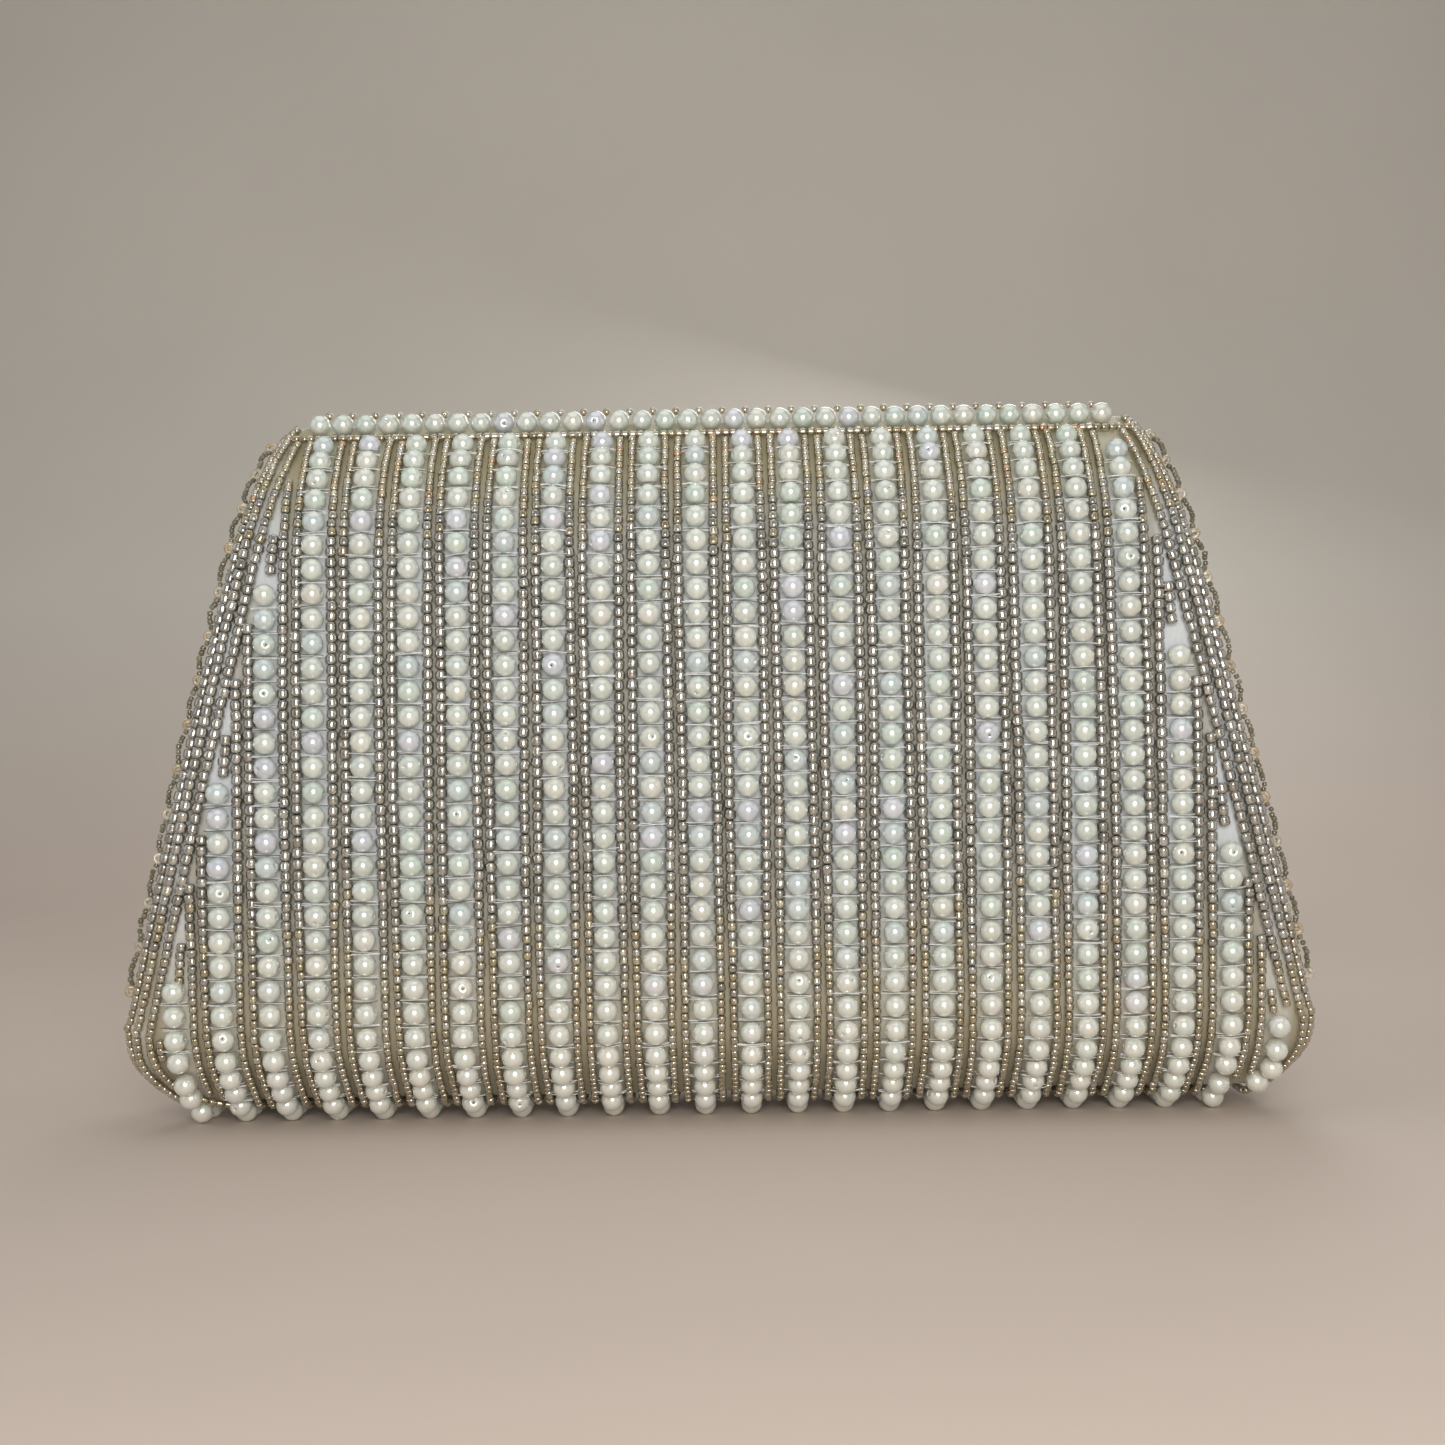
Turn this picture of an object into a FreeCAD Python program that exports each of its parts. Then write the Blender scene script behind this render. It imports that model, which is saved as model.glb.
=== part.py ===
import FreeCAD, Part

import math
import os

import Sketcher

# A beaded evening bag: a fold-over flap clutch of satin, sewn all over with rows of pearls and
# strands of seed beads. X is the width, Y the depth, Z up. The back faces -Y, the flap closes
# over the front at +Y, and the bag stands on the pearls of its underside at Z = 0.
# All sizes are in millimetres and degrees.

Vector = FreeCAD.Vector

DIMENSIONS = {
    # beads
    "pearl_size": 4.0,
    "seed_size": 2.1,
    "accent_size": 1.6,
    "picot_size": 2.4,
    "pearl_pitch": 4.3,
    "row_pitch": 8.35,
    "row_shift": 5.5,
    "strand_offset": 3.04,
    "bead_clearance": 0.03,
    # layers, from the outside in
    "cloth": 0.8,
    "board": 1.0,
    "lining": 0.5,
    "layer_gap": 0.1,
    # section of the body, across the depth
    "base_half": 6.5,
    "base_radius": 3.0,
    "slope_angle": 46.0,
    "low_radius": 15.8,
    "side_radius": 640.0,
    "widest_height": 55.0,
    "top_radius": 32.0,
    "fold_angle": 47.0,
    "fold_length": 7.4,
    "fold_height": 126.0,
    "fold_radius": 4.0,
    "hinge_gap": 0.3,
    "front_depth": 15.0,
    "front_radius": 8.5,
    "mouth_height": 98.0,
    # outline of the panels, seen from the back
    "outline_bottom": 1.0,
    "outline_top": 129.5,
    "flat_half": 88.0,
    "side_angle": 13.3,
    "corner_radius": 15.0,
    "top_corner_radius": 9.0,
    "panel_length": 260.0,
    "board_inset": 2.0,
    "board_below_fold": 5.0,
    "lining_inset": 2.6,
    # flap
    "flap_bottom": 22.0,
    "flap_corner_radius": 20.0,
    "flap_overhang": 0.6,
    "flap_board": 0.8,
    "flap_below_fold": 3.0,
    # beaded areas
    "pearl_margin": 6.2,
    "strand_margin": 5.5,
    "edge_row_inset": 0.2,
    "edge_row_pitch": 2.2,
    "front_bead_top": 18.4,
    "edge_zone": 62.0,
    "fold_row_back": 1.3,
    "fold_seed_back": 4.25,
    "fold_clear": 5.9,
    "fold_pearl_pitch": 4.2,
    # side edging
    "picot_pitch": 7.8,
    "picot_bottom": 22.0,
    "picot_top": 122.0,
    "picot_rise": 0.7,
    "scallop_size": 1.2,
    "scallop_rise": 1.0,
    "edging_offset": 1.35,
    "edging_gap": 0.15,
    "piping_size": 0.6,
    # gussets and pocket
    "gusset_inset": 3.2,
    "gusset_fold": 12.0,
    "gusset_cloth": 0.8,
    "pocket_width": 110.0,
    "pocket_height": 55.0,
    "pocket_bottom": 28.0,
    "pocket_depth": 5.2,
    "pocket_back": 16.2,
    "pocket_cloth": 0.4,
    "binding_height": 1.4,
    "below_mouth": 1.0,
    # press stud
    "stud_height": 36.0,
    "stud_plate": 5.0,
    "stud_plate_depth": 0.5,
    "stud_radius": 1.5,
    "stud_length": 0.7,
    "socket_radius": 3.1,
    "socket_bore": 2.0,
    "socket_length": 0.75,
    "stud_face": 16.95,
}

DERIVED = {
    # the cloth of the base, above the pearls that it stands on
    "ground": "=pearl_size + bead_clearance",
    # half of the flap's straight lower edge, so that its sides run parallel to the bag's sides
    "flap_flat_half": (
        "=flat_half + (corner_radius - flap_corner_radius) / cos(side_angle * 1 deg)"
        " + flap_overhang - (flap_bottom + flap_corner_radius - outline_bottom"
        " - corner_radius) * tan(side_angle * 1 deg)"
    ),
    # where the body's section reaches the fold arc
    "fold_start": "=fold_radius * cos(fold_angle * 1 deg)",
    "fold_centre": "=fold_height - fold_radius * sin(fold_angle * 1 deg)",
    "hinge_half": "=hinge_gap / 2",
}

ROWS = range(-12, 12)
FEET_EVERY = 3
STEPS_PER_PEARL = 20
EDGE_STEP = 0.25
BAG = ("flat_half", "outline_bottom", "corner_radius")
FLAP = ("flap_flat_half", "flap_bottom", "flap_corner_radius")
EVERYWHERE = ("-Sizes.panel_length / 2", "Sizes.panel_length / 2")
SECTION_PLANE = FreeCAD.Rotation(Vector(0, 1, 0), Vector(0, 0, 1), Vector(1, 0, 0), "ZXY")
OUTLINE_PLANE = FreeCAD.Rotation(Vector(1, 0, 0), Vector(0, 0, 1), Vector(0, -1, 0), "ZXY")

document = FreeCAD.newDocument("EveningBag")
sheet = document.addObject("Spreadsheet::Sheet", "Sizes")
sub_parts = []


def fill_sheet():
    """Write every size into the sheet, one row each, with its alias."""
    for row, (alias, value) in enumerate({**DIMENSIONS, **DERIVED}.items(), start=1):
        sheet.set(f"A{row}", alias)
        sheet.set(f"B{row}", str(value))
        sheet.setAlias(f"B{row}", alias)
    document.recompute()


def size(alias):
    """A size from the sheet, as a plain number."""
    return float(getattr(sheet, alias))


def keep(thing, label):
    """Make a document object one of the bag's sub-parts."""
    thing.Label = label
    sub_parts.append(thing)
    return thing


# ---------------------------------------------------------------- sketches


def heading_vector(heading):
    """The direction of travel for a heading: 0 is up, 90 is to the left, -90 to the right."""
    angle = math.radians(heading)
    return Vector(-math.sin(angle), math.cos(angle), 0)


def tangent_chain(sketch, start, heading, steps):
    """Draw lines ("line", length) and arcs ("arc", radius, next heading), each tangent to the last.

    Returns, for each piece, its number in the sketch and its first and last point's number.
    """
    point, pieces = Vector(*start, 0), []
    for step in steps:
        if step[0] == "line":
            end = point + heading_vector(heading) * step[1]
            drawn = Part.LineSegment(point, end)
        else:
            radius, turned = step[1:]
            side = 90 if turned > heading else -90
            centre = point + heading_vector(heading + side) * radius
            middle = centre - heading_vector((heading + turned) / 2 + side) * radius
            end = centre - heading_vector(turned + side) * radius
            drawn = Part.Arc(point, middle, end)
            heading = turned
        number = sketch.addGeometry(drawn, False)
        first = 1 if sketch.getPoint(number, 1).isEqual(point, 1e-6) else 2
        pieces.append((number, first, 3 - first))
        point = end
    for (one, _, last), (other, first, _) in zip(pieces, pieces[1:]):
        sketch.addConstraint(Sketcher.Constraint("Tangent", one, last, other, first))
    return pieces


def bind(sketch, expression, kind, *where):
    """Add a dimension to a sketch and bind it to the sheet."""
    first = sheet.evalExpression(expression)
    first = math.radians(first.Value) if kind == "Angle" else float(first)
    number = sketch.addConstraint(Sketcher.Constraint(kind, *where, first))
    sketch.setExpression(f"Constraints[{number}]", expression)


def place(sketch, number, point, across=None, up=None):
    """Bind a point's distances from the sketch's origin."""
    if across:
        bind(sketch, across, "DistanceX", -1, 1, number, point)
    if up:
        bind(sketch, up, "DistanceY", -1, 1, number, point)


def new_sketch(name, plane):
    sketch = document.addObject("Sketcher::SketchObject", name)
    sketch.Placement = FreeCAD.Placement(Vector(), plane)
    return sketch


def body_section():
    """The outside of the body's cloth, from the front's mouth edge round the base to the fold."""
    sketch = new_sketch("body_section", SECTION_PLANE)
    front_rise = size("mouth_height") - size("ground") - size("front_radius")
    base = size("front_depth") - size("front_radius") + size("base_half")
    pieces = tangent_chain(
        sketch,
        (size("front_depth"), size("mouth_height")),
        180,
        [
            ("line", front_rise),
            ("arc", size("front_radius"), 90),
            ("line", base),
            ("arc", size("base_radius"), size("slope_angle")),
            ("line", 8.0),
            ("arc", size("low_radius"), 3),
            ("arc", size("side_radius"), -4),
            ("arc", size("top_radius"), -size("fold_angle")),
            ("line", size("fold_length")),
        ],
    )
    front, front_arc, bottom, base_arc, slope, low_arc, side_arc, top_arc, fold = pieces
    sketch.addConstraint(Sketcher.Constraint("Vertical", front[0]))
    sketch.addConstraint(Sketcher.Constraint("Horizontal", bottom[0]))
    place(sketch, front[0], front[1], "Sizes.front_depth", "Sizes.mouth_height")
    place(sketch, bottom[0], bottom[2], "-Sizes.base_half", "Sizes.ground")
    for piece, radius in (
        (front_arc, "front_radius"),
        (base_arc, "base_radius"),
        (low_arc, "low_radius"),
        (side_arc, "side_radius"),
        (top_arc, "top_radius"),
    ):
        bind(sketch, f"Sizes.{radius}", "Radius", piece[0])
    bind(sketch, "90 deg + Sizes.slope_angle * 1 deg", "Angle", slope[0])
    bind(sketch, "90 deg - Sizes.fold_angle * 1 deg", "Angle", fold[0])
    bind(sketch, "Sizes.fold_length", "Distance", fold[0])
    place(sketch, side_arc[0], 3, up="Sizes.widest_height")
    place(sketch, fold[0], fold[2], "-Sizes.fold_start", "Sizes.fold_height")
    return sketch


def flap_section():
    """The outside of the flap's cloth: the body's upper section, mirrored about the fold."""
    sketch = new_sketch("flap_section", SECTION_PLANE)
    pieces = tangent_chain(
        sketch,
        (size("fold_start"), size("fold_height")),
        -180 + size("fold_angle"),
        [
            ("line", size("fold_length")),
            ("arc", size("top_radius"), -176),
            ("arc", size("side_radius"), -183),
        ],
    )
    fold, top_arc, side_arc = pieces
    place(sketch, fold[0], fold[1], "Sizes.fold_start", "Sizes.fold_height")
    bind(sketch, "Sizes.fold_angle * 1 deg - 90 deg", "Angle", fold[0])
    bind(sketch, "Sizes.fold_length", "Distance", fold[0])
    bind(sketch, "Sizes.top_radius", "Radius", top_arc[0])
    bind(sketch, "Sizes.side_radius", "Radius", side_arc[0])
    place(sketch, side_arc[0], 3, up="Sizes.widest_height")
    place(sketch, side_arc[0], side_arc[2], up="Sizes.outline_bottom")
    return sketch


def fold_section(name, near, far):
    """Half of the fold arc, between two headings."""
    sketch = new_sketch(name, SECTION_PLANE)
    radius = size("fold_radius")
    centre = Vector(0, size("fold_centre"), 0)
    points = [
        centre - heading_vector(heading - 90) * radius for heading in (near, (near + far) / 2, far)
    ]
    arc = sketch.addGeometry(Part.Arc(*points), False)
    place(sketch, arc, 3, up="Sizes.fold_centre")
    sketch.addConstraint(Sketcher.Constraint("PointOnObject", arc, 3, -2))
    bind(sketch, "Sizes.fold_radius", "Radius", arc)
    for point in (1, 2):
        across = sketch.getPoint(arc, point).x
        alias = "fold_start" if abs(across) > 1 else "hinge_half"
        bind(sketch, f"{'-' if across < 0 else ''}Sizes.{alias}", "DistanceX", -1, 1, arc, point)
    return sketch


def panel_outline(name, flat_half, bottom, corner):
    """A panel seen square on: a trapezium with rounded corners, wider below."""
    sketch = new_sketch(name, OUTLINE_PLANE)
    lean, top_corner = size("side_angle"), size("top_corner_radius")
    low, high = size(bottom), size("outline_top")
    tilt = math.radians(lean)
    arc_rise = size(corner) * (1 + math.sin(tilt))
    side = (high - low - arc_rise - top_corner * (1 - math.sin(tilt))) / math.cos(tilt)
    inward = size(corner) * math.cos(tilt) - side * math.sin(tilt) - top_corner * math.cos(tilt)
    pieces = tangent_chain(
        sketch,
        (-size(flat_half), low),
        -90,
        [
            ("line", 2 * size(flat_half)),
            ("arc", size(corner), lean),
            ("line", side),
            ("arc", top_corner, 90),
            ("line", 2 * (size(flat_half) + inward)),
            ("arc", top_corner, 180 - lean),
            ("line", side),
            ("arc", size(corner), 270),
        ],
    )
    bottom_line, right_low, right, right_top, top_line, left_top, left, left_low = pieces
    sketch.addConstraint(
        Sketcher.Constraint("Tangent", left_low[0], left_low[2], bottom_line[0], bottom_line[1])
    )
    sketch.addConstraint(Sketcher.Constraint("Horizontal", bottom_line[0]))
    sketch.addConstraint(Sketcher.Constraint("Horizontal", top_line[0]))
    place(sketch, bottom_line[0], bottom_line[1], f"-Sizes.{flat_half}", f"Sizes.{bottom}")
    place(sketch, bottom_line[0], bottom_line[2], f"Sizes.{flat_half}")
    place(sketch, top_line[0], top_line[1], up="Sizes.outline_top")
    for piece, radius in (
        (right_low, corner),
        (left_low, corner),
        (right_top, "top_corner_radius"),
        (left_top, "top_corner_radius"),
    ):
        bind(sketch, f"Sizes.{radius}", "Radius", piece[0])
    bind(sketch, "90 deg + Sizes.side_angle * 1 deg", "Angle", right[0])
    bind(sketch, "-90 deg - Sizes.side_angle * 1 deg", "Angle", left[0])
    return sketch


# ---------------------------------------------------------------- solids


def offset(source, expression, filled=False, mode="Skin"):
    """The source's wire moved sideways; filled, the strip between the two.

    Skin moves an open wire to one side, and Pipe moves a closed one outwards.
    """
    moved = document.addObject("Part::Offset2D", "offset")
    moved.Source = source
    moved.setExpression("Value", expression)
    moved.Mode = mode
    moved.Join = "Intersection"
    moved.Fill = filled
    return moved


def extruded(source, expression):
    """The source drawn out both ways from its own plane."""
    solid = document.addObject("Part::Extrusion", "extrusion")
    solid.Base = source
    solid.DirMode = "Normal"
    solid.setExpression("LengthFwd", expression)
    solid.Symmetric = True
    solid.Solid = True
    return solid


def layer(section, near, depth):
    """A sheet that follows a section, its outer side moved in by near, and depth thick."""
    outer = offset(section, near) if near else section
    return extruded(offset(outer, depth, filled=True), "Sizes.panel_length")


def prism(outline, grown=None):
    """Everything inside an outline, right through the bag."""
    edge = offset(outline, grown, mode="Pipe") if grown else outline
    return extruded(edge, "Sizes.panel_length")


def box(x_range, y_range, z_range):
    """A box between bound limits, each a pair of expressions."""
    block = document.addObject("Part::Box", "block")
    for side, axis, (low, high) in zip(
        ("Length", "Width", "Height"), "xyz", (x_range, y_range, z_range)
    ):
        block.setExpression(side, f"({high}) - ({low})")
        block.setExpression(f"Placement.Base.{axis}", low)
    return block


def common(first, *others):
    """What the first shape shares with every one of the others."""
    for other in others:
        shared = document.addObject("Part::Common", "shared")
        shared.Base, shared.Tool = first, other
        first = shared
    return first


def cut(base, tool):
    rest = document.addObject("Part::Cut", "rest")
    rest.Base, rest.Tool = base, tool
    return rest


def fused(*shapes):
    whole = document.addObject("Part::MultiFuse", "whole")
    whole.Shapes = list(shapes)
    return whole


def shaped(shape, label):
    """A sub-part whose shape is made directly from the sheet's sizes."""
    feature = document.addObject("Part::Feature", label)
    feature.Shape = shape
    feature.Placement = FreeCAD.Placement()
    return keep(feature, label)


def half_width(height, panel=BAG):
    """Half of a panel's width at a height above its round bottom corners."""
    flat_half, bottom, corner = (size(alias) for alias in panel)
    tilt = math.radians(size("side_angle"))
    return flat_half + corner / math.cos(tilt) - (height - bottom - corner) * math.tan(tilt)


def room_to_edge(point, panel=BAG):
    """How far inside a panel's outline a point is; the bag goes on past its own lower edge."""
    flat_half, bottom, corner = (size(alias) for alias in panel)
    tilt = math.radians(size("side_angle"))
    side = (half_width(point.z, panel) - abs(point.x)) * math.cos(tilt)
    below = bottom + corner - point.z
    beyond = abs(point.x) - flat_half
    if below > 0 and beyond > 0:
        return corner - math.hypot(below, beyond)
    return min(side, point.z - bottom) if panel == FLAP else side


def strand_span(x, margin, panel=BAG):
    """The lowest and highest point of a strand that keeps a margin from the panel's edge."""
    flat_half, bottom, corner = (size(alias) for alias in panel)
    tilt = math.radians(size("side_angle"))
    centre = bottom + corner
    spare = half_width(centre, panel) - margin / math.cos(tilt) - abs(x)
    highest = centre + spare / math.tan(tilt)
    beyond, round_left = abs(x) - flat_half, corner - margin
    if beyond <= 0:
        return (bottom + margin if panel == FLAP else 0.0), highest
    if beyond >= round_left:
        return highest, highest
    return centre - math.sqrt(round_left**2 - beyond**2), highest


# ---------------------------------------------------------------- beads


def moved_out(section, outward):
    """A section's wire, moved outwards."""
    wire = section.Shape.makeOffset2D(-outward, 2, False, True)
    return wire if wire.ShapeType == "Wire" else wire.Wires[0]


def bead_line(section, outward, pitch, start_at):
    """Bead centres along a section, half a pitch to each side of the point nearest start_at."""
    wire = moved_out(section, outward + size("bead_clearance"))
    fine = wire.discretize(Distance=pitch / STEPS_PER_PEARL)
    middle = min(range(len(fine)), key=lambda n: fine[n].distanceToPoint(start_at))
    return fine[(middle - STEPS_PER_PEARL // 2) % STEPS_PER_PEARL :: STEPS_PER_PEARL]


def row_places():
    return [size("row_shift") + size("row_pitch") * row for row in ROWS]


def beads_at(spots, diameter):
    """One round bead at each spot, each a separate solid."""
    bead = Part.makeSphere(diameter / 2)
    return Part.makeCompound([bead.translated(spot) for spot in spots])


def pearl_spots(line, panel):
    """Every place of every row where a pearl has room inside the panel's outline."""
    spots = [Vector(x, spot.y, spot.z) for x in row_places() for spot in line]
    return [spot for spot in spots if room_to_edge(spot, panel) >= size("pearl_margin")]


def tube(path, diameter):
    """A round tube along a wire."""
    first = path.OrderedEdges[0]
    start = path.OrderedVertexes[0].Point
    at_start = first.valueAt(first.FirstParameter).isEqual(start, 1e-6)
    way = first.tangentAt(first.FirstParameter if at_start else first.LastParameter)
    ring = Part.Wire(Part.makeCircle(diameter / 2, start, way))
    return path.makePipeShell([ring], True, False)


def strands(section, low, high, panel):
    """A strand of seed beads on each side of every pearl row, between two corners of a box."""
    diameter = size("seed_size")
    wire = moved_out(section, diameter / 2 + size("bead_clearance"))
    tubes, made = [], {}
    for x in strand_places():
        bottom, top = strand_span(x, size("strand_margin"), panel)
        span = round(max(bottom, low.z), 3), round(min(top, high.z), 3)
        if span[1] - span[0] < diameter:
            continue
        if span not in made:
            corner = Vector(-1, low.y, span[0])
            block = Part.makeBox(2, high.y - low.y, span[1] - span[0], corner)
            edges = wire.common(block).Edges
            made[span] = tube(Part.Wire(Part.__sortEdges__(edges)), diameter) if edges else None
        if made[span]:
            tubes.append(made[span].translated(Vector(x, 0, 0)))
    return Part.makeCompound(tubes)


def strand_places():
    aside = size("strand_offset")
    return [x + side * aside for x in row_places() for side in (-1, 1)]


def edge_rows(section, outline, region, label):
    """Two rows of seed beads parallel to a panel's edge, on the outside of its cloth."""
    beaded = layer(section, "-Sizes.bead_clearance - Sizes.seed_size", "Sizes.seed_size")
    rings = []
    for row in range(2):
        outer = f"-Sizes.edge_row_inset - {row} * Sizes.edge_row_pitch"
        rings.append(cut(prism(outline, outer), prism(outline, f"{outer} - Sizes.seed_size")))
    return keep(common(beaded, fused(*rings), region), label)


def picot_edging(path, outward, label):
    """Picot beads at even steps along an edge, with a scallop of beads between each two."""
    clear = (size("picot_size") + size("scallop_size")) / 2 + size("edging_gap")
    rise, crest = size("picot_rise"), size("scallop_rise")
    beads, scallops = [], []
    for points, outs in zip(path, outward):
        beads += [point + out * rise for point, out in zip(points, outs)]
        for one, other, out in zip(points, points[1:], outs):
            along = (other - one).normalize()
            middle = (one + other) / 2 + out * crest
            arc = Part.Arc(one + along * clear, middle, other - along * clear)
            scallops.append(tube(Part.Wire(arc.toShape()), size("scallop_size")))
    shaped(beads_at(beads, size("picot_size")), f"{label}_picot_beads")
    shaped(Part.makeCompound(scallops), f"{label}_scallops")


# ---------------------------------------------------------------- sub-parts


def body_shells(body, fold, outline):
    """The cloth, the three boards, the lining and the side piping of the body."""
    cloth = fused(layer(body, None, "Sizes.cloth"), layer(fold, None, "Sizes.cloth"))
    keep(common(cloth, prism(outline)), "outer_cloth")

    under_cloth = "Sizes.cloth + Sizes.layer_gap"
    boards = common(
        layer(body, under_cloth, "Sizes.board"), prism(outline, "-Sizes.board_inset")
    )
    height = ("0", "Sizes.fold_height - Sizes.board_below_fold")
    base = ("-Sizes.base_half", "Sizes.base_half")
    back = ("-Sizes.panel_length / 2", "-Sizes.base_half - 0.2")
    front = ("Sizes.base_half + 0.2", "Sizes.panel_length / 2")
    mouth = ("0", "Sizes.mouth_height - Sizes.layer_gap")
    keep(common(boards, box(EVERYWHERE, back, height)), "back_board")
    keep(common(boards, box(EVERYWHERE, base, ("0", "Sizes.ground * 2"))), "base_board")
    keep(common(boards, box(EVERYWHERE, front, mouth)), "front_board")

    under_board = f"{under_cloth} + Sizes.board + Sizes.layer_gap"
    lining = layer(body, under_board, "Sizes.lining")
    keep(
        common(lining, prism(outline, "-Sizes.lining_inset"), box(EVERYWHERE, EVERYWHERE, height)),
        "body_lining",
    )

    edge = cut(prism(outline, "Sizes.piping_size + 0.05"), prism(outline, "0.05"))
    piping = common(layer(body, "Sizes.cloth", "Sizes.piping_size"), edge)
    left = ("-Sizes.panel_length / 2", "0")
    right = ("0", "Sizes.panel_length / 2")
    keep(common(piping, box(left, EVERYWHERE, height)), "left_side_piping")
    keep(common(piping, box(right, EVERYWHERE, height)), "right_side_piping")


def gussets(body, outline):
    """The two cloth sides, each folded inwards between the front and the back."""
    thick = size("cloth") + size("board") + size("lining") + 3 * size("layer_gap")
    inner = moved_out(body, -thick)
    ends = inner.OrderedVertexes[0].Point, inner.OrderedVertexes[-1].Point
    closed = Part.Wire(Part.__sortEdges__([*inner.Edges, Part.makeLine(*ends)]))
    length = size("panel_length")
    room = Part.Face(closed).extrude(Vector(length, 0, 0)).translated(Vector(-length / 2, 0, 0))
    corner = Vector(-length / 2, -length / 2, 0)
    below_mouth = Part.makeBox(length, length, size("mouth_height") - size("below_mouth"), corner)
    tilt, depth = math.radians(size("side_angle")), size("front_depth") + 5
    fold, cloth = size("gusset_fold"), size("gusset_cloth")
    outer = half_width(0) - size("gusset_inset")
    inside = prism(outline, "-Sizes.gusset_inset")
    for side, label in ((-1, "left_gusset"), (1, "right_gusset")):
        corners = [
            (outer, -depth),
            (outer - fold, 0),
            (outer, depth),
            (outer - cloth, depth),
            (outer - fold - cloth, 0),
            (outer - cloth, -depth),
        ]
        ring = Part.makePolygon([Vector(side * x, y, 0) for x, y in [*corners, corners[0]]])
        rise = Vector(-side * length * math.tan(tilt), 0, length)
        folded = Part.Face(ring).extrude(rise)
        uncut = document.addObject("Part::Feature", "folded_cloth")
        uncut.Shape = folded.common(room).common(below_mouth)
        keep(common(uncut, inside), label)


def slip_pocket():
    """A flat pocket on the back's lining, open at the top."""
    half = "Sizes.pocket_width / 2"
    wall = "Sizes.pocket_cloth"
    front = "-Sizes.pocket_back + Sizes.pocket_depth"
    top = "Sizes.pocket_bottom + Sizes.pocket_height"
    outside = box(
        (f"-{half}", half), ("-Sizes.pocket_back", front), ("Sizes.pocket_bottom", top)
    )
    inside = box(
        (f"-{half} + {wall}", f"{half} - {wall}"),
        ("-Sizes.pocket_back - 1", f"{front} - {wall}"),
        (f"Sizes.pocket_bottom + {wall}", f"{top} + 1"),
    )
    keep(cut(outside, inside), "slip_pocket")
    binding = box(
        (f"-{half}", half),
        (f"{front} - {wall} * 1.5", f"{front} + {wall} / 2"),
        (f"{top} + Sizes.layer_gap", f"{top} + Sizes.layer_gap + Sizes.binding_height"),
    )
    keep(binding, "pocket_binding")


def mouth_binding(outline):
    """The tape over the front's upper edge."""
    stack = "Sizes.cloth + Sizes.board + Sizes.lining + 3 * Sizes.layer_gap"
    low = "Sizes.mouth_height + Sizes.layer_gap"
    tape = box(
        EVERYWHERE,
        (f"Sizes.front_depth - ({stack})", "Sizes.front_depth + Sizes.layer_gap"),
        (low, f"{low} + Sizes.binding_height"),
    )
    keep(common(tape, prism(outline, "-Sizes.layer_gap")), "mouth_binding")


def flap_shells(flap, fold, outline):
    """The cloth, board and lining of the flap."""
    cloth = fused(layer(flap, None, "Sizes.cloth"), layer(fold, None, "Sizes.cloth"))
    keep(common(cloth, prism(outline)), "flap_cloth")
    clear_of_fold = box(EVERYWHERE, EVERYWHERE, ("0", "Sizes.fold_height - Sizes.flap_below_fold"))
    under_cloth = "Sizes.cloth + Sizes.layer_gap"
    board = layer(flap, under_cloth, "Sizes.flap_board")
    inset = prism(outline, "-Sizes.board_inset")
    keep(common(board, inset, clear_of_fold), "flap_board")
    under_board = f"{under_cloth} + Sizes.flap_board + Sizes.layer_gap"
    lining = layer(flap, under_board, "Sizes.lining")
    keep(common(lining, prism(outline, "-Sizes.board_inset / 2"), clear_of_fold), "flap_lining")


def disc(radius, start, length):
    """A disc or post that stands along the depth at the press stud's height."""
    post = document.addObject("Part::Cylinder", "post")
    post.Placement = FreeCAD.Placement(Vector(), FreeCAD.Rotation(Vector(1, 0, 0), -90))
    post.setExpression("Radius", radius)
    post.setExpression("Height", length)
    post.setExpression("Placement.Base.y", start)
    post.setExpression("Placement.Base.z", "Sizes.stud_height")
    return post


def press_stud():
    """The socket on the front's cloth and the stud on the flap's lining."""
    seat = "Sizes.front_depth + Sizes.layer_gap / 2"
    plate, deep = "Sizes.stud_plate", "Sizes.stud_plate_depth"
    socket = fused(
        disc(plate, seat, deep),
        disc("Sizes.socket_radius", f"{seat} + {deep} / 2", f"{deep} / 2 + Sizes.socket_length"),
    )
    bore = disc("Sizes.socket_bore", f"{seat} + {deep}", "Sizes.socket_length * 2")
    keep(cut(socket, bore), "snap_socket")
    face = f"Sizes.stud_face - {deep}"
    stud = fused(
        disc(plate, face, deep),
        disc("Sizes.stud_radius", f"{face} - Sizes.stud_length", f"Sizes.stud_length + {deep} / 2"),
    )
    keep(stud, "snap_stud")


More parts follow.
